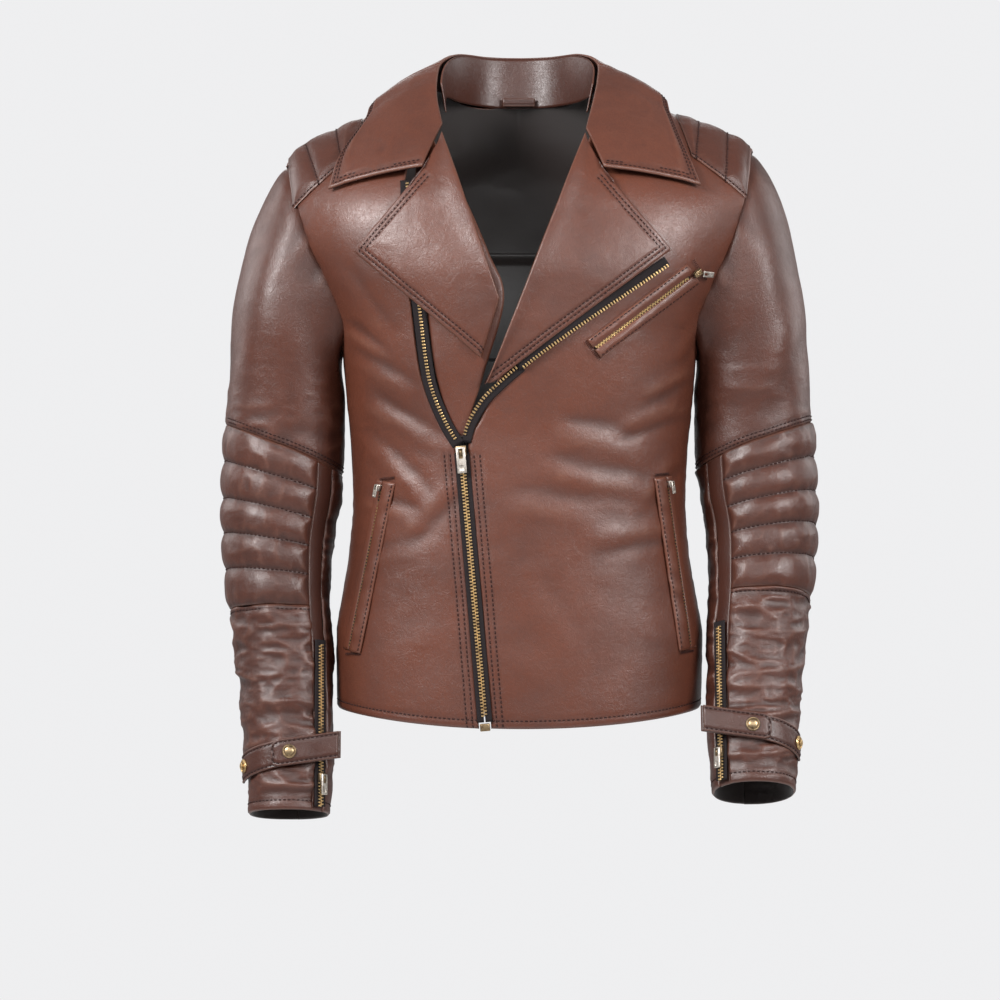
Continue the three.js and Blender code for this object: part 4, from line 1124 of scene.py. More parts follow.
# %% Collar pieces
def spline(points):
    """A smooth path through space points; t counts evenly from point to point."""
    p = np.array(points, float)
    ext = np.vstack([2 * p[0] - p[1], p, 2 * p[-1] - p[-2]])

    def at(t):
        s = np.clip(np.asarray(t, float), 0, 1) * (len(p) - 1)
        i = np.minimum(s.astype(int), len(p) - 2)
        f = (s - i)[..., None]
        a, b, c, d = ext[i], ext[i + 1], ext[i + 2], ext[i + 3]
        return 0.5 * (2 * b + (c - a) * f + (2 * a - 5 * b + 4 * c - d) * f**2 + (3 * b - a - 3 * c + d)
                      * f**3)
    return at


def edge_row(shape, edge, offset, start=None, end=None, count=180):
    """A line inside a panel, offset millimetres from one of its edges: u0, u1, v0 or v1."""
    depth = np.linspace(0, 0.6, 70)[None]
    side = np.linspace(0, 1, count)[:, None]
    d = depth if edge[1] == "0" else 1 - depth
    a, b = np.broadcast_arrays(d, side)
    p = shape(a, b) if edge[0] == "u" else shape(b, a)
    length = np.linalg.norm(np.diff(p[:, 0], axis=0), axis=1).sum()
    trim = offset / length
    low = trim if start is None else start
    high = 1 - trim if end is None else end
    run = np.cumsum(np.linalg.norm(np.diff(p, axis=1), axis=-1), axis=1)
    run = np.hstack([np.zeros((count, 1)), run])
    at = np.array([np.interp(offset, run[k], depth[0]) for k in range(count)])
    share = np.linspace(low, high, count)
    at = np.interp(share, side[:, 0], at)
    at = at if edge[1] == "0" else 1 - at
    return shape(at, share) if edge[0] == "u" else shape(share, at)


COLLAR_LIFT = 7.6
on_shoulder = lambda x, drop: on_front(x, float(ridge(x)) - drop, COLLAR_LIFT)


def back_outer(x):
    z = -30 - 10 * abs(x) / 120
    a = angle_of(x, z)
    return on_body(BACK, a, z) + body_normal(BACK, a, z) * COLLAR_LIFT


roll_line = spline([(62, -150, -44), (68, -126, -20), (74, -92, 8), (75, -56, 32), (60, -22, 45),
                    (32, 4, 46), (0, 12, 46),
                    (-32, 4, 46), (-60, -22, 45), (-75, -56, 32), (-79, -92, 9), (-78, -114, -13),
                    (-73, -140, -38)])
outer_edge = spline([on_front(167, -101, COLLAR_LIFT), on_front(155, -67, COLLAR_LIFT), on_shoulder(143, 14),
                     on_shoulder(136, 0.5), back_outer(104), back_outer(56), back_outer(0), back_outer(-56),
                     back_outer(-104), on_shoulder(-138, 0.5), on_shoulder(-147, 14),
                     on_front(-168, -72, COLLAR_LIFT), on_front(-177, -104, COLLAR_LIFT)])


# where the front end of the collar turns from the gorge seam to its free edge
GORGE = {LEFT: (78, -182, -88), RIGHT: (-91, -178, -87)}
GORGE_SHARE = 0.36


def collar_shape(low, high):
    def shape(u, v):
        t = low + (high - low) * u
        a, b = roll_line(t), outer_edge(t)
        mid = a + (b - a) * 0.45
        out = np.stack([mid[..., 0] * 0.25, (mid[..., 1] + 60) * 0.25, 30 + 0 * t], -1)
        mid = mid + 9 * out / np.linalg.norm(out, axis=-1, keepdims=True)
        p = a * (1 - v[..., None]) ** 2 + mid * (2 * v * (1 - v))[..., None] + b * v[..., None] ** 2
        rise = np.where(v < GORGE_SHARE, v / GORGE_SHARE, (1 - v) / (1 - GORGE_SHARE))
        for end, corner in ((0.0, GORGE[LEFT]), (1.0, GORGE[RIGHT])):
            a, b = roll_line(np.array(end)), outer_edge(np.array(end))
            here = a + (b - a) * GORGE_SHARE
            near = rise * np.exp(-((t - end) / 0.05) ** 2)
            p = p + near[..., None] * (np.array(corner) - here)
        return p
    return shape


def collar_relief(seed):
    def relief(p, u, v):
        body = np.sin(np.clip(v, 0, 1) * math.pi)
        h = 1.2 + 1.1 * noise(p, 46, seed) * (0.4 + body) + crumple(p, 17, 0.35, (1, 1, 1.5), seed)
        return h - 0.9 * ramp(v, 0.86, 1.0) + 0.9 * np.exp(-((v - 0.88) / 0.03) ** 2) * 0.5
    return relief


def wing_blend(side):
    """The bodies on each side of a front collar wing and two points on the line where it meets the back of
    the collar.
    """
    start, end = (side * 0.105, -0.059, 0.006), (side * 0.086, -0.0956, -0.012)
    return ("torso", f"{SIDE[side]}_collar_wing", start, end)


WING = 0.235  # share of the collar that is a free wing at each end
FREE_EDGE = 112  # millimetres from the gorge corner to the point of a wing
COLLAR_CENTRE = (0, -40, -60)
for name, low, high, side, cols, ends in (("collar_fall", WING, 1 - WING, 0, 150, ""),
                                          ("left_collar_wing", 0, WING, LEFT, 60, "u0"),
                                          ("right_collar_wing", 1 - WING, 1, RIGHT, 60, "u1")):
    shape = collar_shape(low, high)
    rows = []
    for o in (4, 7.6):
        if ends:
            stop = o / FREE_EDGE
            rows.append(edge_row(shape, "v1", o, *((stop, 1.0) if ends == "u0" else (0.0, 1 - stop))))
            rows.append(edge_row(shape, ends, o, GORGE_SHARE, 1 - stop))
        else:
            rows.append(edge_row(shape, "v1", o, 0, 1))
    piece = panel(name + "_leather", shape, *grid(cols, 70), COLLAR_HIDE, thick=2.8,
                  relief=collar_relief(21 + cols),
                  sewn=rows, roll=1.3, inside=COLLAR_CENTRE, backing=TRIM_HIDE)
    wear_on(piece, "torso", side and wing_blend(side), replaces=(name,))
    sew(name + "_stitches", piece, rows)

# %% Collar stand
stand_low = spline([(66, -92, -14), (70, -62, 4), (58, -28, 4), (32, -2, 3), (0, 5.5, 2), (-32, -2, 3),
                    (-58, -28, 4), (-72, -62, 4), (-72, -92, -14)])


def stand_shape(u, v):
    """From inside the neck seam up to just under the roll line."""
    low = stand_low(u) - np.array([0, 0, 8])
    high = roll_line((2 + 8 * u) / 12)
    inward = np.stack([-high[..., 0], -60 - high[..., 1], 0 * u], -1)
    high = high + inward / np.linalg.norm(inward, axis=-1, keepdims=True) * 2.6 - np.array([0, 0, 2.2])
    return low + (high - low) * v[..., None]


piece = panel("collar_stand_leather", stand_shape, *grid(110, 20), COLLAR_HIDE, thick=2.0,
              relief=lambda p, u, v: soft_waves(p, 4, 0.25), roll=0.8, inside=COLLAR_CENTRE,
              backing=TRIM_HIDE)
wear_on(piece, "torso", replaces=("collar_stand",))

# %% [markdown]
# ## Lapels
# A lapel is the front edge of the jacket turned back at its roll line. Its roll is round and full, the
# rest lies flat on the chest, and two rows of stitches follow the free edges. Each is its own moving piece.

# %% Lapel pieces
LAPELS = {LEFT: [(60, -54), (77, -91), (139, -161), (-24, -284), (-31, -286)],
          RIGHT: [(-72, -52), (-90, -90), (-153, -162), (-36, -262), (-19, -208)]}


def lapel_shape(points):
    gorge_in, gorge_out, tip, low, roll_end = points
    flat = patch(straight_through([roll_end, low]), straight_through([gorge_in, gorge_out]),
                 straight_through([roll_end, gorge_in]), straight_through([low, tip, gorge_out]))

    def shape(u, v):
        p = flat(u, v)
        puff = 5.9 + 3.2 * np.exp(-(u / 0.16) ** 2) + 1.2 * np.sin(math.pi * u) * np.sin(math.pi * v)
        return on_front(p[..., 0], p[..., 1], puff)
    return shape


def lapel_relief(seed):
    def relief(p, u, v):
        return 0.9 * noise(p, 55, seed) + crumple(p, 20, 0.4, (1.3, 1, 1.3), seed) - 0.5 * ramp(u, 0.9, 1.0)
    return relief


def polyline_inset(points, offset, count=240):
    """A line parallel to a polyline with sharp corners, offset to the left of its direction."""
    p = np.array(points, float)
    d = np.diff(p, axis=0)
    d /= np.linalg.norm(d, axis=1, keepdims=True)
    n = np.stack([-d[:, 1], d[:, 0]], -1) * offset
    out = [p[0] + n[0]]
    for k in range(len(d) - 1):
        bisect = n[k] + n[k + 1]
        out.append(p[k + 1] + bisect * (offset**2 / max((bisect @ n[k]), 1e-6)))
    out.append(p[-1] + n[-1])
    return straight_through(out)(np.linspace(0, 1, count))


for side in (LEFT, RIGHT):
    points = LAPELS[side]
    shape = lapel_shape(points)
    edges = [points[3], points[2], points[1]]
    rows = [front_line(polyline_inset(edges, side * o), 7.0) for o in (4.2, 8.2)]
    name = f"{SIDE[side]}_lapel"
    piece = panel(name + "_leather", shape, *grid(90, 110), COLLAR_HIDE, thick=2.4,
                  relief=lapel_relief(30 + side), sewn=rows, roll=1.3, inside=BODY_CENTRE, backing=TRIM_HIDE)
    wear_on(piece, name, replaces=(name,))
    sew(name + "_stitches", piece, rows)

# %% [markdown]
# ## Quilted shoulders
# The shoulder pads are wadded leather sewn down in ribs. The ribs are the relief: each one rises between
# two sewn lines and sinks at the stitches, with short puckers across it where the thread pulls.

# %% Shoulder quilts
def ribs(points, lines, height, width=9.0):
    """How far wadding lifts the leather between sewn lines."""
    d = np.min([nearest(points, line) for line in lines], axis=0)
    return height * (1 - np.exp(-(d / width) ** 1.6)), d


SHOULDER_LINES = {RIGHT: [[(-204, -54), (-188, -98)], [(-176, -38), (-167, -78)]],
                  LEFT: [[(173, -24), (165, -74)], [(200, -38), (192, -98)]]}
for side in (RIGHT, LEFT):
    tip, dip = SHOULDER - 6, 0 if side == RIGHT else 10
    a, b = np.array([side * 162, -72 + dip * 0.3]), np.array([side * (tip - 8), -118 + dip])

    def shape(u, v, side=side, tip=tip, a=a, b=b):
        bottom = a + (b - a) * u[..., None]
        x = side * (150 + (tip - 150) * u)
        top = np.stack([x, ridge(x) - 2.5], -1)
        p = bottom + (top - bottom) * v[..., None]
        return on_front(p[..., 0], p[..., 1], 2.4)

    rows = [front_line(straight_through(line)(np.linspace(0, 1, 60)), 4) for line in SHOULDER_LINES[side]]
    border = [edge_row(shape, e, 2.5, 0, 1) for e in ("v0", "u0", "u1")]

    def relief(p, u, v, rows=rows + border):
        h, d = ribs(p, rows, 1.9, 6.0)
        return h + noise(p, 8, 6) * 0.4 * np.exp(-((d - 3) / 4) ** 2) + 0.6 * noise(p, 26, 8)

    name = f"{SIDE[side]}_shoulder_quilt"
    piece = panel(name + "_leather", shape, *grid(70, 70), QUILT_HIDE, thick=1.6, relief=relief, sewn=rows,
                  roll=1.6, inside=BODY_CENTRE)
    wear_on(piece, "torso", replaces=(name,))
    sew(name + "_stitches", piece, rows + border[:1])

# %% [markdown]
# ## Sleeves
# An upper sleeve is one tube set into the armhole. Below the slanted elbow seam come a quilted forearm, a
# plain wrist panel and a narrow under-sleeve, with the zip gusset between.

# %% Sleeve pieces
INNER_SEAM, BACK_SEAM, ZIP_OPENING, SEAM_SHARE = 128 * DEGREE, 262 * DEGREE, 0.38, 0.001
elbow_seam = lambda turn: ELBOW - ELBOW_SLANT * np.cos(turn)
ELBOW_CENTRE = {s: np.array([s * 227, -95, -345 + SHORTEN[s] * 0.1]) for s in (RIGHT, LEFT)}


def sleeve_shape(side, turns, low, high, lift=0.0):
    def shape(u, v):
        turn = turns[0] + (turns[1] - turns[0]) * u
        start = low(turn) if callable(low) else low + 0 * turn
        end = high(turn) if callable(high) else high + 0 * turn
        return sleeve_point(side, start + (end - start) * v, turn, lift)
    return shape


def shoulder_blend(side):
    return ("torso", f"{SIDE[side]}_sleeve", (side * 0.2045, -0.07, -0.15), (side * 0.2464, -0.07, -0.1689))


def elbow_blend(side):
    start = (ELBOW_CENTRE[side] + np.array([side * 1, 0, -2])) * MM
    end = start + np.array([side * 0.014, -0.004, -0.062])
    return (f"{SIDE[side]}_sleeve", f"{SIDE[side]}_forearm", tuple(start), tuple(end))


def upper_relief(seed):
    def relief(p, u, v):
        turn = u * 2 * math.pi
        down = -p[:, 2]
        head = np.exp(-(v / 0.1) ** 2)
        gather = noise(np.stack([turn * 40, 0 * u, v * 60], -1), 9, seed) * head * 1.2
        h = 1.1 * head + gather + soft_waves(p, seed, 1.3)
        elbow = ramp(down, 235, 330)
        h += crumple(p, 26, 0.9, (1.2, 1.2, 0.75), seed) * (0.25 + elbow)
        drag = np.sin((down * 0.055 + np.cos(turn) * 2.2 + noise(p, 60, seed) * 2.0))
        return h + drag * 1.0 * ramp(down, 120, 260)
    return relief


def wrist_relief(seed, amount=1.0):
    def relief(p, u, v):
        fold = crumple(p, 25, 2.7, (1.8, 1.8, 0.75), seed, 1.7)
        fold += crumple(p, 12, 0.8, (1.4, 1.4, 0.8), seed + 1, 1.5)
        calm = 1 - 0.75 * ramp(v, 0.86, 1.0)
        return amount * (fold * calm + soft_waves(p, seed, 0.7))
    return relief


FOREARM_ROWS = (0.2, 0.4, 0.59, 0.785)
for side in (RIGHT, LEFT):
    name = SIDE[side]
    centre = (side * 226, -80, -200)
    shape = sleeve_shape(side, (0, 2 * math.pi), 1.2, lambda t: elbow_seam(t) - 0.05)
    foot = [edge_row(shape, "v1", o, 0, 1) for o in (3, 6.5)]
    piece = panel(f"{name}_upper_sleeve_leather", shape, *grid(120, 120), SLEEVE_HIDE, ring=True,
                  relief=upper_relief(40 + side), sewn=foot,
                  inside=centre)
    wear_on(piece, blend=shoulder_blend(side), replaces=(f"{name}_upper_sleeve",))
    sew(f"{name}_upper_sleeve_stitches", piece, foot)

    quilt_turns = (BACK_SEAM - 2 * math.pi + SEAM_SHARE, INNER_SEAM - SEAM_SHARE)
    shape = sleeve_shape(side, quilt_turns, lambda t: elbow_seam(t) + 0.05, QUILT_END - 0.05, 0.4)
    rows = [shape(np.linspace(0.0, 1, 160), np.full(160, v)) for v in FOREARM_ROWS]
    border = [edge_row(shape, e, 1.0, 0, 1) for e in ("v0", "v1", "u0", "u1")]

    def quilt_relief(p, u, v, rows=rows + border, seed=50 + side):
        h, d = ribs(p, rows, 2.7, 6.5)
        pucker = noise(p * np.array([1, 1, 0.35]), 6.5, seed) * 0.75 * np.exp(-(d / 5.5) ** 2)
        across = crumple(p, 17, 1.1, (0.9, 0.9, 1.3), seed)
        return h + pucker + across * (h / 2.7) + noise(p, 40, seed) * 1.2

    piece = panel(f"{name}_forearm_quilt_leather", shape, *grid(120, 110), QUILT_HIDE, relief=quilt_relief,
                  sewn=rows, inside=(side * 230, -100, -430))
    wear_on(piece, blend=elbow_blend(side), replaces=(f"{name}_forearm_quilt",))
    sew(f"{name}_forearm_stitches", piece, rows)

    shape = sleeve_shape(side, quilt_turns, QUILT_END + 0.05, SLEEVE_END)
    rows = [edge_row(shape, "v1", 9, 0, 1), edge_row(shape, "v0", 4, 0, 1)]
    piece = panel(f"{name}_wrist_leather", shape, *grid(110, 120), SLEEVE_HIDE,
                  relief=wrist_relief(60 + side), sewn=rows, inside=(side * 222, -140, -600))
    wear_on(piece, f"{name}_forearm", replaces=(f"{name}_wrist_panel",))
    sew(f"{name}_wrist_stitches", piece, rows)

    shape = sleeve_shape(side, (INNER_SEAM + ZIP_OPENING, BACK_SEAM - SEAM_SHARE),
                         lambda t: elbow_seam(t) + 0.05, SLEEVE_END)
    rows = [edge_row(shape, "v1", 9, 0, 1)]
    piece = panel(f"{name}_under_sleeve_leather", shape, *grid(60, 170), SLEEVE_HIDE,
                  relief=wrist_relief(70 + side, 0.55), sewn=rows, inside=(side * 225, -110, -520))
    wear_on(piece, blend=elbow_blend(side), replaces=(f"{name}_under_sleeve",))
    sew(f"{name}_under_sleeve_stitches", piece, rows)
    shape = sleeve_shape(side, (INNER_SEAM + SEAM_SHARE, INNER_SEAM + ZIP_OPENING - SEAM_SHARE),
                         lambda t: elbow_seam(t) + 0.05, SLEEVE_END, -1.2)
    piece = panel(f"{name}_gusset_leather", shape, *grid(20, 120), TRIM_HIDE, thick=1.6, roll=0.6,
                  relief=lambda p, u, v: soft_waves(p, 3, 0.5), inside=(side * 225, -110, -520))
    wear_on(piece, blend=elbow_blend(side), replaces=(f"{name}_zip_gusset",))
print("sleeves done,", len(PANELS), "panels")

# %% [markdown]
# ## Zips
# A zip is two woven tapes with a cast tooth every three millimetres. Below the slider the teeth of both
# tapes stand between each other; above it the tapes part. One tooth is modelled as a bevelled block with
# a raised nose, then copied along each tape edge as one row.

# %% Metals and tape
def metal_group():
    tree, given, result = new_group("aged_metal", [
        ("Place", "Vector", None), ("Bright", "Color", (0.5, 0.3, 0.1, 1)),
        ("Dull", "Color", (0.1, 0.06, 0.03, 1))],
        [("Color", "Color"), ("Roughness", "Float"), ("Normal", "Vector")])
    n = Nodes(tree)
    cloud = n.noise(given["Place"], 160.0, 4.0, 0.65)
    fine = n.noise(given["Place"], 1400.0, 2.0)
    n.join(n.mix(n.range(cloud, 0.42, 0.68), given["Bright"], given["Dull"]), result["Color"])
    n.join(n.range(cloud, 0.3, 0.7, 0.3, 0.55), result["Roughness"])
    bump = n.add("Bump")
    bump.inputs["Strength"].default_value = 0.25
    bump.inputs["Distance"].default_value = 0.0001
    n.join(fine, bump.inputs["Height"])
    n.join(bump.outputs[0], result["Normal"])
    return tree


AGED_METAL = metal_group()


def metal(name, bright, dull):
    material, n, shader = new_finish(name)
    group = n.add("Group", node_tree=AGED_METAL)
    n.join(n.add("TexCoord").outputs["Object"], group.inputs["Place"])
    group.inputs["Bright"].default_value = (*bright, 1)
    group.inputs["Dull"].default_value = (*dull, 1)
    n.join(group.outputs["Color"], shader.inputs["Base Color"])
    n.join(group.outputs["Roughness"], shader.inputs["Roughness"])
    n.join(group.outputs["Normal"], shader.inputs["Normal"])
    shader.inputs["Metallic"].default_value = 1.0
    return material


BRASS = metal("antique_brass", (0.31, 0.225, 0.13), (0.085, 0.056, 0.034))
TOOTH_BRASS = metal("tooth_brass", (0.66, 0.46, 0.22), (0.21, 0.135, 0.07))
NICKEL = metal("worn_nickel", (0.60, 0.555, 0.50), (0.22, 0.19, 0.165))


def tape_material():
    material, n, shader = new_finish("zip_tape")
    place = n.add("TexCoord").outputs["Object"]
    heights = []
    for direction in ("X", "Z"):
        wave = n.add("TexWave", wave_type="BANDS", bands_direction=direction)
        n.join(place, wave.inputs["Vector"])
        wave.inputs["Scale"].default_value = 480
        heights.append(wave.outputs["Fac"])
    weave = n.math("MULTIPLY", heights[0], heights[1])
    n.join(n.mix(weave, (0.008, 0.0065, 0.007, 1), (0.026, 0.020, 0.021, 1)), shader.inputs["Base Color"])
    bump = n.add("Bump")
    bump.inputs["Strength"].default_value = 0.5
    bump.inputs["Distance"].default_value = 0.0002
    n.join(weave, bump.inputs["Height"])
    n.join(bump.outputs[0], shader.inputs["Normal"])
    shader.inputs["Roughness"].default_value = 0.8
    shader.inputs["Specular IOR Level"].default_value = 0.12
    return material


TAPE = tape_material()


# %% One tooth, and rows of them
def take_mesh(piece):
    """A finished object's points (millimetres) and faces, taken out as a template."""
    mesh = piece.data
    points = np.array([v.co for v in mesh.vertices]) / MM
    faces = [list(p.vertices) for p in mesh.polygons]
    bpy.data.objects.remove(piece)
    return points, faces


def block(name, size, at=(0, 0, 0), bevel=0.0, segments=2):
    """A bevelled block in millimetres."""
    bpy.ops.object.select_all(action="DESELECT")
    bpy.ops.mesh.primitive_cube_add(size=1, location=Vector(at) * MM)
    piece = bpy.context.object
    piece.name = name
    piece.scale = Vector(size) * MM
    bpy.ops.object.transform_apply(location=True, scale=True)
    if bevel:
        bpy.ops.object.mode_set(mode="EDIT")
        bpy.ops.mesh.select_all(action="SELECT")
        bpy.ops.mesh.bevel(offset=bevel * MM, segments=segments, affect="EDGES")
        bpy.ops.object.mode_set(mode="OBJECT")
    return piece


TOOTH = take_mesh(block("tooth", (3.3, 1.55, 2.1), (0, 0, 0), 0.38, 1))
TOOTH_PITCH = 3.0


def surface_frames(path, offset, start, end, pitch, lift, phase=0.0):
    """Frames along a flat path on the front: x across, y along, z out."""
    count = int(path.length * (end - start) / pitch)
    t = start + (np.arange(count) + 0.5 + phase) * (end - start) / count
    p = path(t)
    d = path(np.minimum(t + 0.002, 1)) - path(np.maximum(t - 0.002, 0))
    d /= np.linalg.norm(d, axis=1, keepdims=True)
    side = np.stack([d[:, 1], -d[:, 0]], -1)
    q = p + side * offset
    a = angle_of(q[:, 0], q[:, 1])
    n = body_normal(FRONT, a, q[:, 1])
    at = on_body(FRONT, a, q[:, 1]) + n * lift
    ahead = on_front(q[:, 0] + d[:, 0], q[:, 1] + d[:, 1], lift)
    y = ahead - at
    y -= n * (y * n).sum(1, keepdims=True)
    y /= np.linalg.norm(y, axis=1, keepdims=True)
    return [(o, c, b, m) for o, c, b, m in zip(at, np.cross(y, n), y, n)]


def tooth_row(name, body, path, offset, start, end, lift, phase=0.0):
    row = copies(name, TOOTH, surface_frames(path, offset, start, end, TOOTH_PITCH, lift, phase),
                 TOOTH_BRASS, smooth=False)
    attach(row, body)
    return row


def tape_strip(name, body, path, offset_a, offset_b, start, end, lift, thick=1.0, replaces=(),
               material=None, relief=None, held="stretched", columns=8):
    def shape(u, v):
        t = start + (end - start) * v
        p = path(t)
        d = path(np.minimum(t + 0.002, 1)) - path(np.maximum(t - 0.002, 0))
        d /= np.linalg.norm(d, axis=-1, keepdims=True)
        o = (offset_a + (offset_b - offset_a) * u)[..., None]
        q = p + np.stack([d[..., 1], -d[..., 0]], -1) * o
        return on_front(q[..., 0], q[..., 1], lift)
    rows = int(path.length * (end - start) / (2.4))
    piece = panel(name, shape, columns, max(rows, 12), material or TAPE, thick=thick, roll=0.5,
                  inside=BODY_CENTRE, relief=relief, held=held, backing=TAPE)
    wear_on(piece, body, replaces=replaces)
    return piece, shape


closed = curve_through([ZIP_BOTTOM, ZIP_TOP])
RIGHT_CHAIN = curve_through([ZIP_TOP, (-70, -324), (-83, -293), (-89, -264), (-96, -206), (-105, -140),
                             (-107, -96)])
LEFT_CHAIN = curve_through([ZIP_TOP, (-47, -324), (-37, -306), (-26, -293), (0, -270), (40, -240),
                            (139, -170)])
wave = lambda p, u, v: 0.25 * noise(p, 22, 3)
tape_strip("right_zip_tape", "torso", closed, -0.6, -6.9, 0.004, 1.0, 1.5,
           replaces=("right_zip_chain_closed",), relief=wave)
tape_strip("left_zip_tape", "torso", closed, 0.6, 6.9, 0.004, 1.0, 1.5, replaces=("left_zip_chain_closed",),
           relief=wave)
tooth_row("right_zip_teeth", "torso", closed, -1.15, 0.022, 0.965, 2.1)
tooth_row("left_zip_teeth", "torso", closed, 1.15, 0.022, 0.965, 2.1, 0.5)
tape_strip("right_open_tape", "torso", RIGHT_CHAIN, -4.5, 7.5, 0.03, 1, 1.5,
           replaces=("right_zip_chain_open",), relief=wave)
tooth_row("right_open_teeth", "torso", RIGHT_CHAIN, 2.4, 0.05, 0.99, 2.1)
tape_strip("left_open_tape", "torso", LEFT_CHAIN, -2.4, 6.0, 0.04, 0.37, 1.5,
           replaces=("left_zip_chain_open",), relief=wave)
tooth_row("left_open_teeth", "torso", LEFT_CHAIN, -1.4, 0.06, 0.37, 2.2)
tape_strip("left_lapel_tape", "left_lapel", LEFT_CHAIN, -5.5, 3.4, 0.36, 0.985, 3.9,
           replaces=("left_lapel_zip_chain",), relief=wave)
tooth_row("left_lapel_teeth", "left_lapel", LEFT_CHAIN, 2.4, 0.37, 0.98, 4.6)


# %% [markdown]
# ## Sliders, pulls and the retainer box
# A slider is two bowed plates joined by a post, with a lug for the pull. They are cast pieces, so blocks
# with the lower end narrowed, generous bevels and a rounded lug give their shape. The pull is a long flat
# tab with a slot at the top and a square recess near its end.

# %% Slider and pull
def frame_matrix(origin, x, y, z):
    m = Matrix.Identity(4)
    for k, axis in enumerate((x, y, z)):
        for j in range(3):
            m[j][k] = float(axis[j])
    for j in range(3):
        m[j][3] = float(origin[j]) * MM
    return m


def straight_frame(top, bottom, normal):
    """A frame at top whose y axis points up the line from bottom."""
    y = (top - bottom) / np.linalg.norm(top - bottom)
    z = normal - y * (normal @ y)
    z /= np.linalg.norm(z)
    return top, np.cross(y, z), y, z


def zip_frame(top, bottom, lift, end_lift):
    a = angle_of(top[0], top[1])
    return straight_frame(on_front(*top, lift), on_front(*bottom, end_lift), body_normal(FRONT, a, top[1]))


def joined(name, pieces, material, frame):
    """Joins pieces modelled at the origin, gives them a metal and sets them in a frame."""
    bpy.ops.object.select_all(action="DESELECT")
    for piece in pieces:
        piece.select_set(True)
    bpy.context.view_layer.objects.active = pieces[0]
    if len(pieces) > 1:
        bpy.ops.object.join()
    piece = bpy.context.object
    piece.name = name
    piece.data.materials.clear()
    piece.data.materials.append(material)
    bpy.ops.object.shade_smooth_by_angle(angle=math.radians(35))
    piece.data.transform(frame_matrix(*frame))
    return piece


def narrow(piece, below, by):
    """Narrows the part of a piece whose y is under a limit."""
    for v in piece.data.vertices:
        if v.co.y < below * MM:
            v.co.x *= by


def slider(name, k, frame, body, material=BRASS):
    plate = block(name, (10.2 * k, 13 * k, 1.7), (0, 0, 3.9), 0.7, 3)
    narrow(plate, -2 * k, 0.74)
    low = block("low", (9.2 * k, 11.5 * k, 1.0), (0, 0, 1.1), 0.4, 2)
    narrow(low, -2 * k, 0.74)
    bpy.ops.object.select_all(action="DESELECT")
    bpy.ops.mesh.primitive_torus_add(location=(0, 0.2 * k * MM, 4.7 * MM), rotation=(0, math.pi / 2, 0),
                                     major_radius=2.5 * k * MM, minor_radius=0.72 * k * MM,
                                     major_segments=28, minor_segments=10)
    arch = bpy.context.object
    bpy.ops.object.transform_apply(location=True, rotation=True)
    cheeks = [block("cheek", (1.1 * k, 8 * k, 3.4), (x * 4.3 * k, 1.5 * k, 2.6), 0.4, 2) for x in (-1, 1)]
    piece = joined(name, [plate, low, arch] + cheeks, material, frame)
    wear_on(piece, body, replaces=(body,))
    return piece


def pull(name, k, frame, shift, body, height=6.1, length=24.0):
    """A tab hanging down from the lug, with a slot cut through it and a recess near its end."""
    plate = block(name, (8.8 * k, length * k, 1.6), (0, 2.5 * k - length * k / 2 + shift, height), 0.5, 3)
    cuts = [block("slot", (3.9 * k, 9.4 * k, 6), (0, -3.4 * k + shift, height), 0.6, 3),
            block("recess", (4.4 * k, 5.2 * k, 1.2), (0, -16.5 * k + shift, height + 0.85), 0.3, 2)]
    for cutter in cuts:
        bpy.context.view_layer.objects.active = plate
        cut = plate.modifiers.new("cut", "BOOLEAN")
        cut.operation = "DIFFERENCE"
        cut.object = cutter
        cut.solver = "EXACT"
        bpy.ops.object.modifier_apply(modifier="cut")
        bpy.data.objects.remove(cutter)
    piece = joined(name, [plate], NICKEL, frame)
    wear_on(piece, body, replaces=(body,))
    return piece


main_frame = zip_frame(ZIP_TOP, ZIP_BOTTOM, 0.2, 0.6)
slider("main_slider_brass", 1.0, main_frame, "main_slider")
pull("main_pull_nickel", 1.0, main_frame, 2.5, "main_pull")
chest_path = curve_through([CHEST_LOW, CHEST_HIGH])
CHEST_SEAT, CHEST_LIFT, CHEST_RUN_RISE = (163, -180.5), 2.7, 4.7
chest_frame = zip_frame(CHEST_SEAT, tuple(chest_path(np.array(0.45))), CHEST_LIFT, CHEST_RUN_RISE)
slider("chest_slider_brass", 0.62, chest_frame, "chest_pocket_slider")
beyond = (CHEST_SEAT[0] + 20, CHEST_SEAT[1])
chest_pull_frame = straight_frame(on_front(*CHEST_SEAT, CHEST_LIFT), on_front(*beyond, CHEST_LIFT),
                                  body_normal(FRONT, angle_of(*CHEST_SEAT), CHEST_SEAT[1]))
pull("chest_pull_nickel", 0.62, chest_pull_frame, -6, "chest_pocket_pull", 5.3)
bottom_frame = zip_frame((ZIP_BOTTOM[0], ZIP_BOTTOM[1] - 1), (ZIP_BOTTOM[0] + 2.15, ZIP_BOTTOM[1] - 26), 0, 0)
box = block("zip_box_brass", (9.2, 7, 4.0), (0, -2.6, 2.4), 0.7, 3)
ends = [block("end", (1.5, 6.0, 4.6), (x * 3.4, -2.4, 2.5), 0.4, 2) for x in (-1, 1)]
piece = joined("zip_box_brass", [box] + ends, BRASS, bottom_frame)
wear_on(piece, "torso", replaces=("zip_retainer_box",))

# %% [markdown]
# ## Pockets
# The chest pocket is a slanted zip between two narrow welts. The hand pockets are steep slits: a slim
# welt folded over a zip, with a satin bag behind. Bars of close stitches hold the ends.

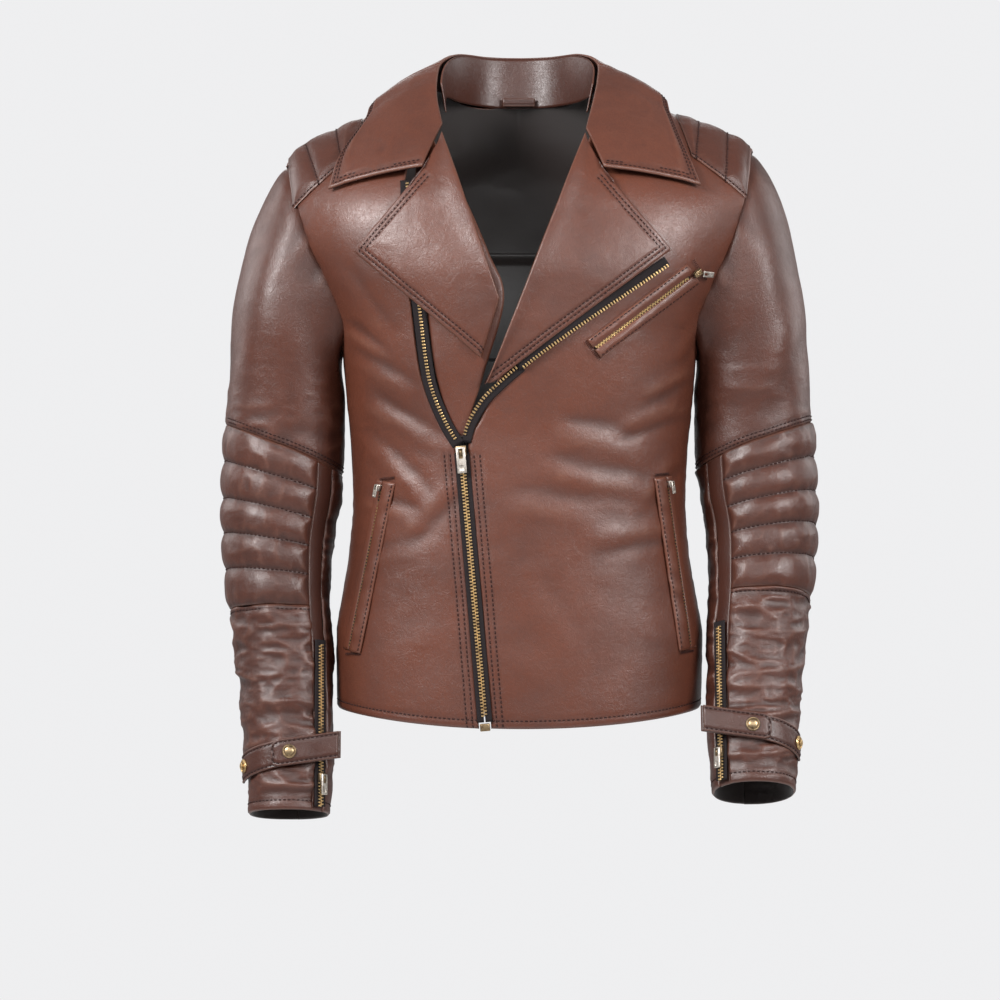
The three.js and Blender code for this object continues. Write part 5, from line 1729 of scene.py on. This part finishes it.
# %% Chest pocket
def welt(name, path, a, b, lift, replaces, start=0.0, end=1.0, body="torso"):
    def bulge(p, u, v):
        return 1.5 * np.sin(math.pi * np.clip(u, 0, 1)) + 0.5 * noise(p, 10, 4) - 0.6
    piece, shape = tape_strip(name, body, path, a, b, start, end, lift, thick=2.2, replaces=replaces,
                              material=BODY_HIDE, relief=bulge, columns=12)
    rows = [edge_row(shape, e, 1.8, 0.01, 0.99) for e in ("u0", "u1")]
    sew(name + "_stitches", piece, rows[1:] if abs(a) < abs(b) else rows[:1])
    return piece


welt("chest_upper_welt", chest_path, -10.4, -1.1, 3.0, ("chest_pocket_upper_welt",))
welt("chest_lower_welt", chest_path, 1.3, 10.0, 3.0, ("chest_pocket_lower_welt",))
tape_strip("chest_zip_tape", "torso", chest_path, -4, 4, 0.005, 0.975, 1.0, replaces=("chest_pocket_zip",))
tooth_row("chest_upper_teeth", "torso", chest_path, -1.0, 0.01, 0.94, 1.2)
tooth_row("chest_lower_teeth", "torso", chest_path, 1.0, 0.01, 0.94, 1.2, 0.5)


def bar_tack(name, centre, across, lift, width=8.0, reach=3.0):
    """A block of close stitches that stops a pocket end from tearing."""
    places = []
    c, d = np.array(centre, float), np.array(across, float)
    d /= np.linalg.norm(d)
    for k in np.linspace(-0.5, 0.5, 13):
        q = c + d * k * width
        at = on_front(q[0], q[1], lift)
        ahead = on_front(q[0] - d[1], q[1] + d[0], lift) - at
        n = body_normal(FRONT, angle_of(q[0], q[1]), q[1])
        t = ahead - n * (ahead @ n)
        t /= np.linalg.norm(t)
        places.append((at, t, np.cross(n, t), n))
    piece = copies(name, bar_template(reach, 0.34), places, THREAD)
    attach(piece, "torso")


bar_tack("chest_tack_high", (166.5, -177.5), (72, -93), 3.4, 20)
bar_tack("chest_tack_low", (66, -255.5), (72, -93), 3.4, 20)

# %% Hand pockets
for side in (RIGHT, LEFT):
    name = f"{SIDE[side]}_hand_pocket"
    high, low = HAND_POCKET[side]
    path = curve_through([high, low])
    welt(name + "_leather", path, side * -1.6, side * 9.2, 3.4, (name + "_welt",))
    tape_strip(name + "_tape", "torso", path, side * -7, side * 1.2, 0.02, 0.985, 1.0)
    tooth_row(name + "_teeth", "torso", path, side * -1.9, 0.06, 0.98, 1.2)
    tape_strip(name + "_lip", "torso", path, side * -9, side * -3.4, 0.0, 1.0, 1.6, thick=1.4,
               material=BODY_HIDE, relief=lambda p, u, v: 0.5 * np.sin(math.pi * np.clip(u, 0, 1)) - 0.3)
    start, stop = path(np.array(0.045)), path(np.array(0.95))
    run = zip_frame(start, stop, 2.2, 2.2)
    seat = (run[0] + run[1] * side * 4.9 - run[3] * 0.9, *run[1:])
    slider(name + "_slider_nickel", 0.5, seat, name + "_slider", NICKEL)
    pull(name + "_pull_nickel", 0.5, seat, 1.3, name + "_pull")
    for k, end in (("high", high), ("low", low)):
        bar_tack(f"{name}_tack_{k}", (end[0] + side * -2, end[1] + (2.5 if k == "high" else -2.5)),
                 (1, 0.1), 2.4, 13)

    def bag(u, v, high=np.array(high), low=np.array(low), side=side):
        p = high + (low - high) * v[..., None]
        x = p[..., 0] + (-side * 74 * np.sin(math.pi * np.clip(v * 0.8 + 0.18, 0, 1))) * u
        return on_front(x, p[..., 1] - 14 * u, -2.7)

    piece = panel(name + "_bag_satin", bag, *grid(40, 60), SATIN, thick=0.6, roll=0.2, inside=BODY_CENTRE,
                  relief=lambda p, u, v: 0.15 * noise(p, 20, 5))
    wear_on(piece, "torso")

# %% [markdown]
# ## Cuffs
# Each forearm opens with its own short zip beside the inner seam, and a snap strap closes over it. The
# strap has a long base sewn to the sleeve and a tab that opens at its folded end. The snap caps are
# turned brass: a disc, its rim and a low dome.

# %% Sleeve zips
for side in (RIGHT, LEFT):
    name = SIDE[side]
    turn = INNER_SEAM + ZIP_OPENING / 2
    high, low = sleeve_point(side, 532, turn, 0.6), sleeve_point(side, SLEEVE_END - 4, turn, 0.6)
    outward = (high + low) / 2 - arm_centre(side, 610)
    origin, x, y, z = straight_frame(low, low - (high - low), outward)
    length = float(np.linalg.norm(high - low))
    bow = 2.2 if side == RIGHT else 3.4

    def strip(u, v, origin=origin, x=x, y=y, z=z, length=length, bow=bow):
        return origin + x * ((u - 0.5) * 13)[..., None] + y * (v * length)[..., None] + z * (bow - 0.9)

    piece = panel(name + "_sleeve_zip_tape", strip, 10, 60, TAPE, thick=0.9, roll=0.3,
                  inside=(side * 225, -110, -520), backing=TAPE)
    wear_on(piece, f"{name}_forearm", replaces=(f"{name}_sleeve_zip_chain",))
    count = int(length / TOOTH_PITCH)
    for hand in (-1, 1):
        start = origin + x * hand * 1.15 + z * (bow - 0.2)
        step = 0.8 if hand > 0 else 0.3
        places = [(start + y * ((k + step) * TOOTH_PITCH), x, y, z) for k in range(count - 1)]
        row = copies(f"{name}_sleeve_teeth_{'a' if hand < 0 else 'b'}", TOOTH, places, TOOTH_BRASS,
                     smooth=False)
        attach(row, f"{name}_forearm")
    seat = (origin + y * 26 + z * (bow - 1.2), x, y, z)
    slider(f"{name}_sleeve_slider_brass", 0.8, seat, f"{name}_sleeve_slider")
    pull(f"{name}_sleeve_pull_nickel", 0.8, seat, 2, f"{name}_sleeve_pull")

# %% Straps and snaps
STRAP_DOWN, STRAP_HALF, STRAP_REACH, WRAP_SHARE, SNAP = 642, 12.5, 51, 0.6, 6.6
STRAP_INSET = 2.6  # stitches from the strap's edge
BASE_LIFT, TAB_LIFT, TAB_START = 4.2, 7.3, 0.52


def strap_point(side, w, across, lift):
    w, across, lift = np.broadcast_arrays(*(np.asarray(q, float) for q in (w, across, lift)))
    down = STRAP_DOWN + 10 - 19 * w + across * STRAP_HALF
    turn = (12 + 72 * np.minimum(w / WRAP_SHARE, 1)) * DEGREE
    p = sleeve_point(side, down, turn, lift)
    t = np.clip((w - WRAP_SHARE) / (1 - WRAP_SHARE), 0, 1)
    end = side * (float(along(ARM_X, STRAP_DOWN)) - STRAP_REACH)
    p[..., 0] = p[..., 0] + (end - p[..., 0]) * t
    p[..., 1] = p[..., 1] + 5 * t**2
    return p


def strap_frame(side, w, lift):
    up = strap_point(side, w, -1, 0) - strap_point(side, w, 1, 0)
    up /= np.linalg.norm(up)
    along_strap = strap_point(side, min(w + 0.02, 1), 0, lift) - strap_point(side, max(w - 0.02, 0), 0, lift)
    out = np.cross(along_strap, up)
    out = -out if out[1] > 0 else out
    out /= np.linalg.norm(out)
    origin = strap_point(side, w, 0, lift)
    return origin, np.cross(up, out), up, out


def turned(name, radius, height, at, bevel, sides=40):
    bpy.ops.object.select_all(action="DESELECT")
    bpy.ops.mesh.primitive_cylinder_add(vertices=sides, radius=radius * MM, depth=height * MM,
                                        location=(0, 0, at * MM))
    piece = bpy.context.object
    piece.name = name
    bpy.ops.object.transform_apply(location=True)
    bpy.ops.object.mode_set(mode="EDIT")
    bpy.ops.mesh.select_all(action="SELECT")
    bpy.ops.mesh.bevel(offset=bevel * MM, segments=3, affect="EDGES")
    bpy.ops.object.mode_set(mode="OBJECT")
    return piece


def ring(radius, thick, at):
    bpy.ops.object.select_all(action="DESELECT")
    bpy.ops.mesh.primitive_torus_add(location=(0, 0, at * MM), major_radius=radius * MM,
                                     minor_radius=thick * MM, major_segments=40, minor_segments=10)
    return bpy.context.object


def dome(radius, height, at):
    bpy.ops.object.select_all(action="DESELECT")
    bpy.ops.mesh.primitive_uv_sphere_add(segments=32, ring_count=16, radius=radius * MM, location=(0, 0, 0))
    piece = bpy.context.object
    piece.scale = (1, 1, height / radius)
    bpy.ops.object.transform_apply(scale=True)
    piece.data.transform(Matrix.Translation((0, 0, at * MM)))
    return piece


for side in (RIGHT, LEFT):
    name = SIDE[side]
    centre = (side * 222, -140, -640)
    shape = lambda u, v, side=side: strap_point(side, v, 2 * u - 1, BASE_LIFT)
    rows = [edge_row(shape, e, STRAP_INSET, 0.02, 0.97) for e in ("u0", "u1")]
    rows.append(edge_row(shape, "v0", STRAP_INSET, 0.1, 0.9))
    piece = panel(f"{name}_strap_leather", shape, *grid(30, 90), TRIM_HIDE, thick=2.6, sewn=rows, roll=0.9,
                  inside=centre,
                  backing=TRIM_HIDE, relief=lambda p, u, v: 0.35 * noise(p, 14, 9) + crumple(p, 12, 0.2))
    wear_on(piece, f"{name}_forearm", replaces=(f"{name}_strap_base",))
    sew(f"{name}_strap_stitches", piece, rows)

    def tab(u, v, side=side):
        w = TAB_START + (0.985 - TAB_START) * v
        nose = np.clip((w - TAB_START) / 0.09, 0, 1)
        half = 0.4 + 0.6 * np.sqrt(np.maximum(0, 1 - (1 - nose) ** 2))
        return strap_point(side, w, (2 * u - 1) * half, TAB_LIFT)

    rows = [edge_row(tab, e, STRAP_INSET, 0.02, 0.99) for e in ("u0", "u1", "v0")]
    piece = panel(f"{name}_tab_leather", tab, *grid(30, 60), TRIM_HIDE, thick=2.6, sewn=rows, roll=0.9,
                  inside=centre, backing=TRIM_HIDE, relief=lambda p, u, v: 0.3 * noise(p, 13, 5))
    wear_on(piece, f"{name}_strap_tab", replaces=(f"{name}_strap_tab",))
    sew(f"{name}_tab_stitches", piece, rows)
    cap = [turned("cap", SNAP, 1.3, 0.75, 0.35), ring(SNAP - 0.9, 0.75, 1.2), dome(SNAP - 1.5, 2.1, 0.9)]
    piece = joined(f"{name}_cap_brass", cap, BRASS, strap_frame(side, 0.665, TAB_LIFT))
    wear_on(piece, f"{name}_strap_tab", replaces=(f"{name}_snap_cap",))
    stud = [turned("stud", SNAP, 1.1, 0.75, 0.3), ring(SNAP - 1.2, 0.95, 1.2),
            turned("post", 2.5, 3.4, 2.0, 0.5), ring(2.7, 0.5, 3.2)]
    piece = joined(f"{name}_stud_brass", stud, TOOTH_BRASS, strap_frame(side, 0.12, BASE_LIFT))
    wear_on(piece, f"{name}_forearm", replaces=(f"{name}_snap_stud",))

# %% Hanger loop
LOOP_Y = -2.8
loop = lambda u, v: np.stack([(u - 0.5) * 32, LOOP_Y + 0 * u, (v - 0.5) * 8], -1)
loop_rows = [np.array([[x, LOOP_Y, z] for x in np.linspace(-14, 14, 40)]) for z in (-2.4, 2.4)]
piece = panel("hanger_loop_leather", loop, 24, 8, TRIM_HIDE, thick=1.8, roll=0.4, inside=(0, 60, 0),
              backing=TRIM_HIDE, sewn=loop_rows)
wear_on(piece, "torso", replaces=("hanger_loop",))
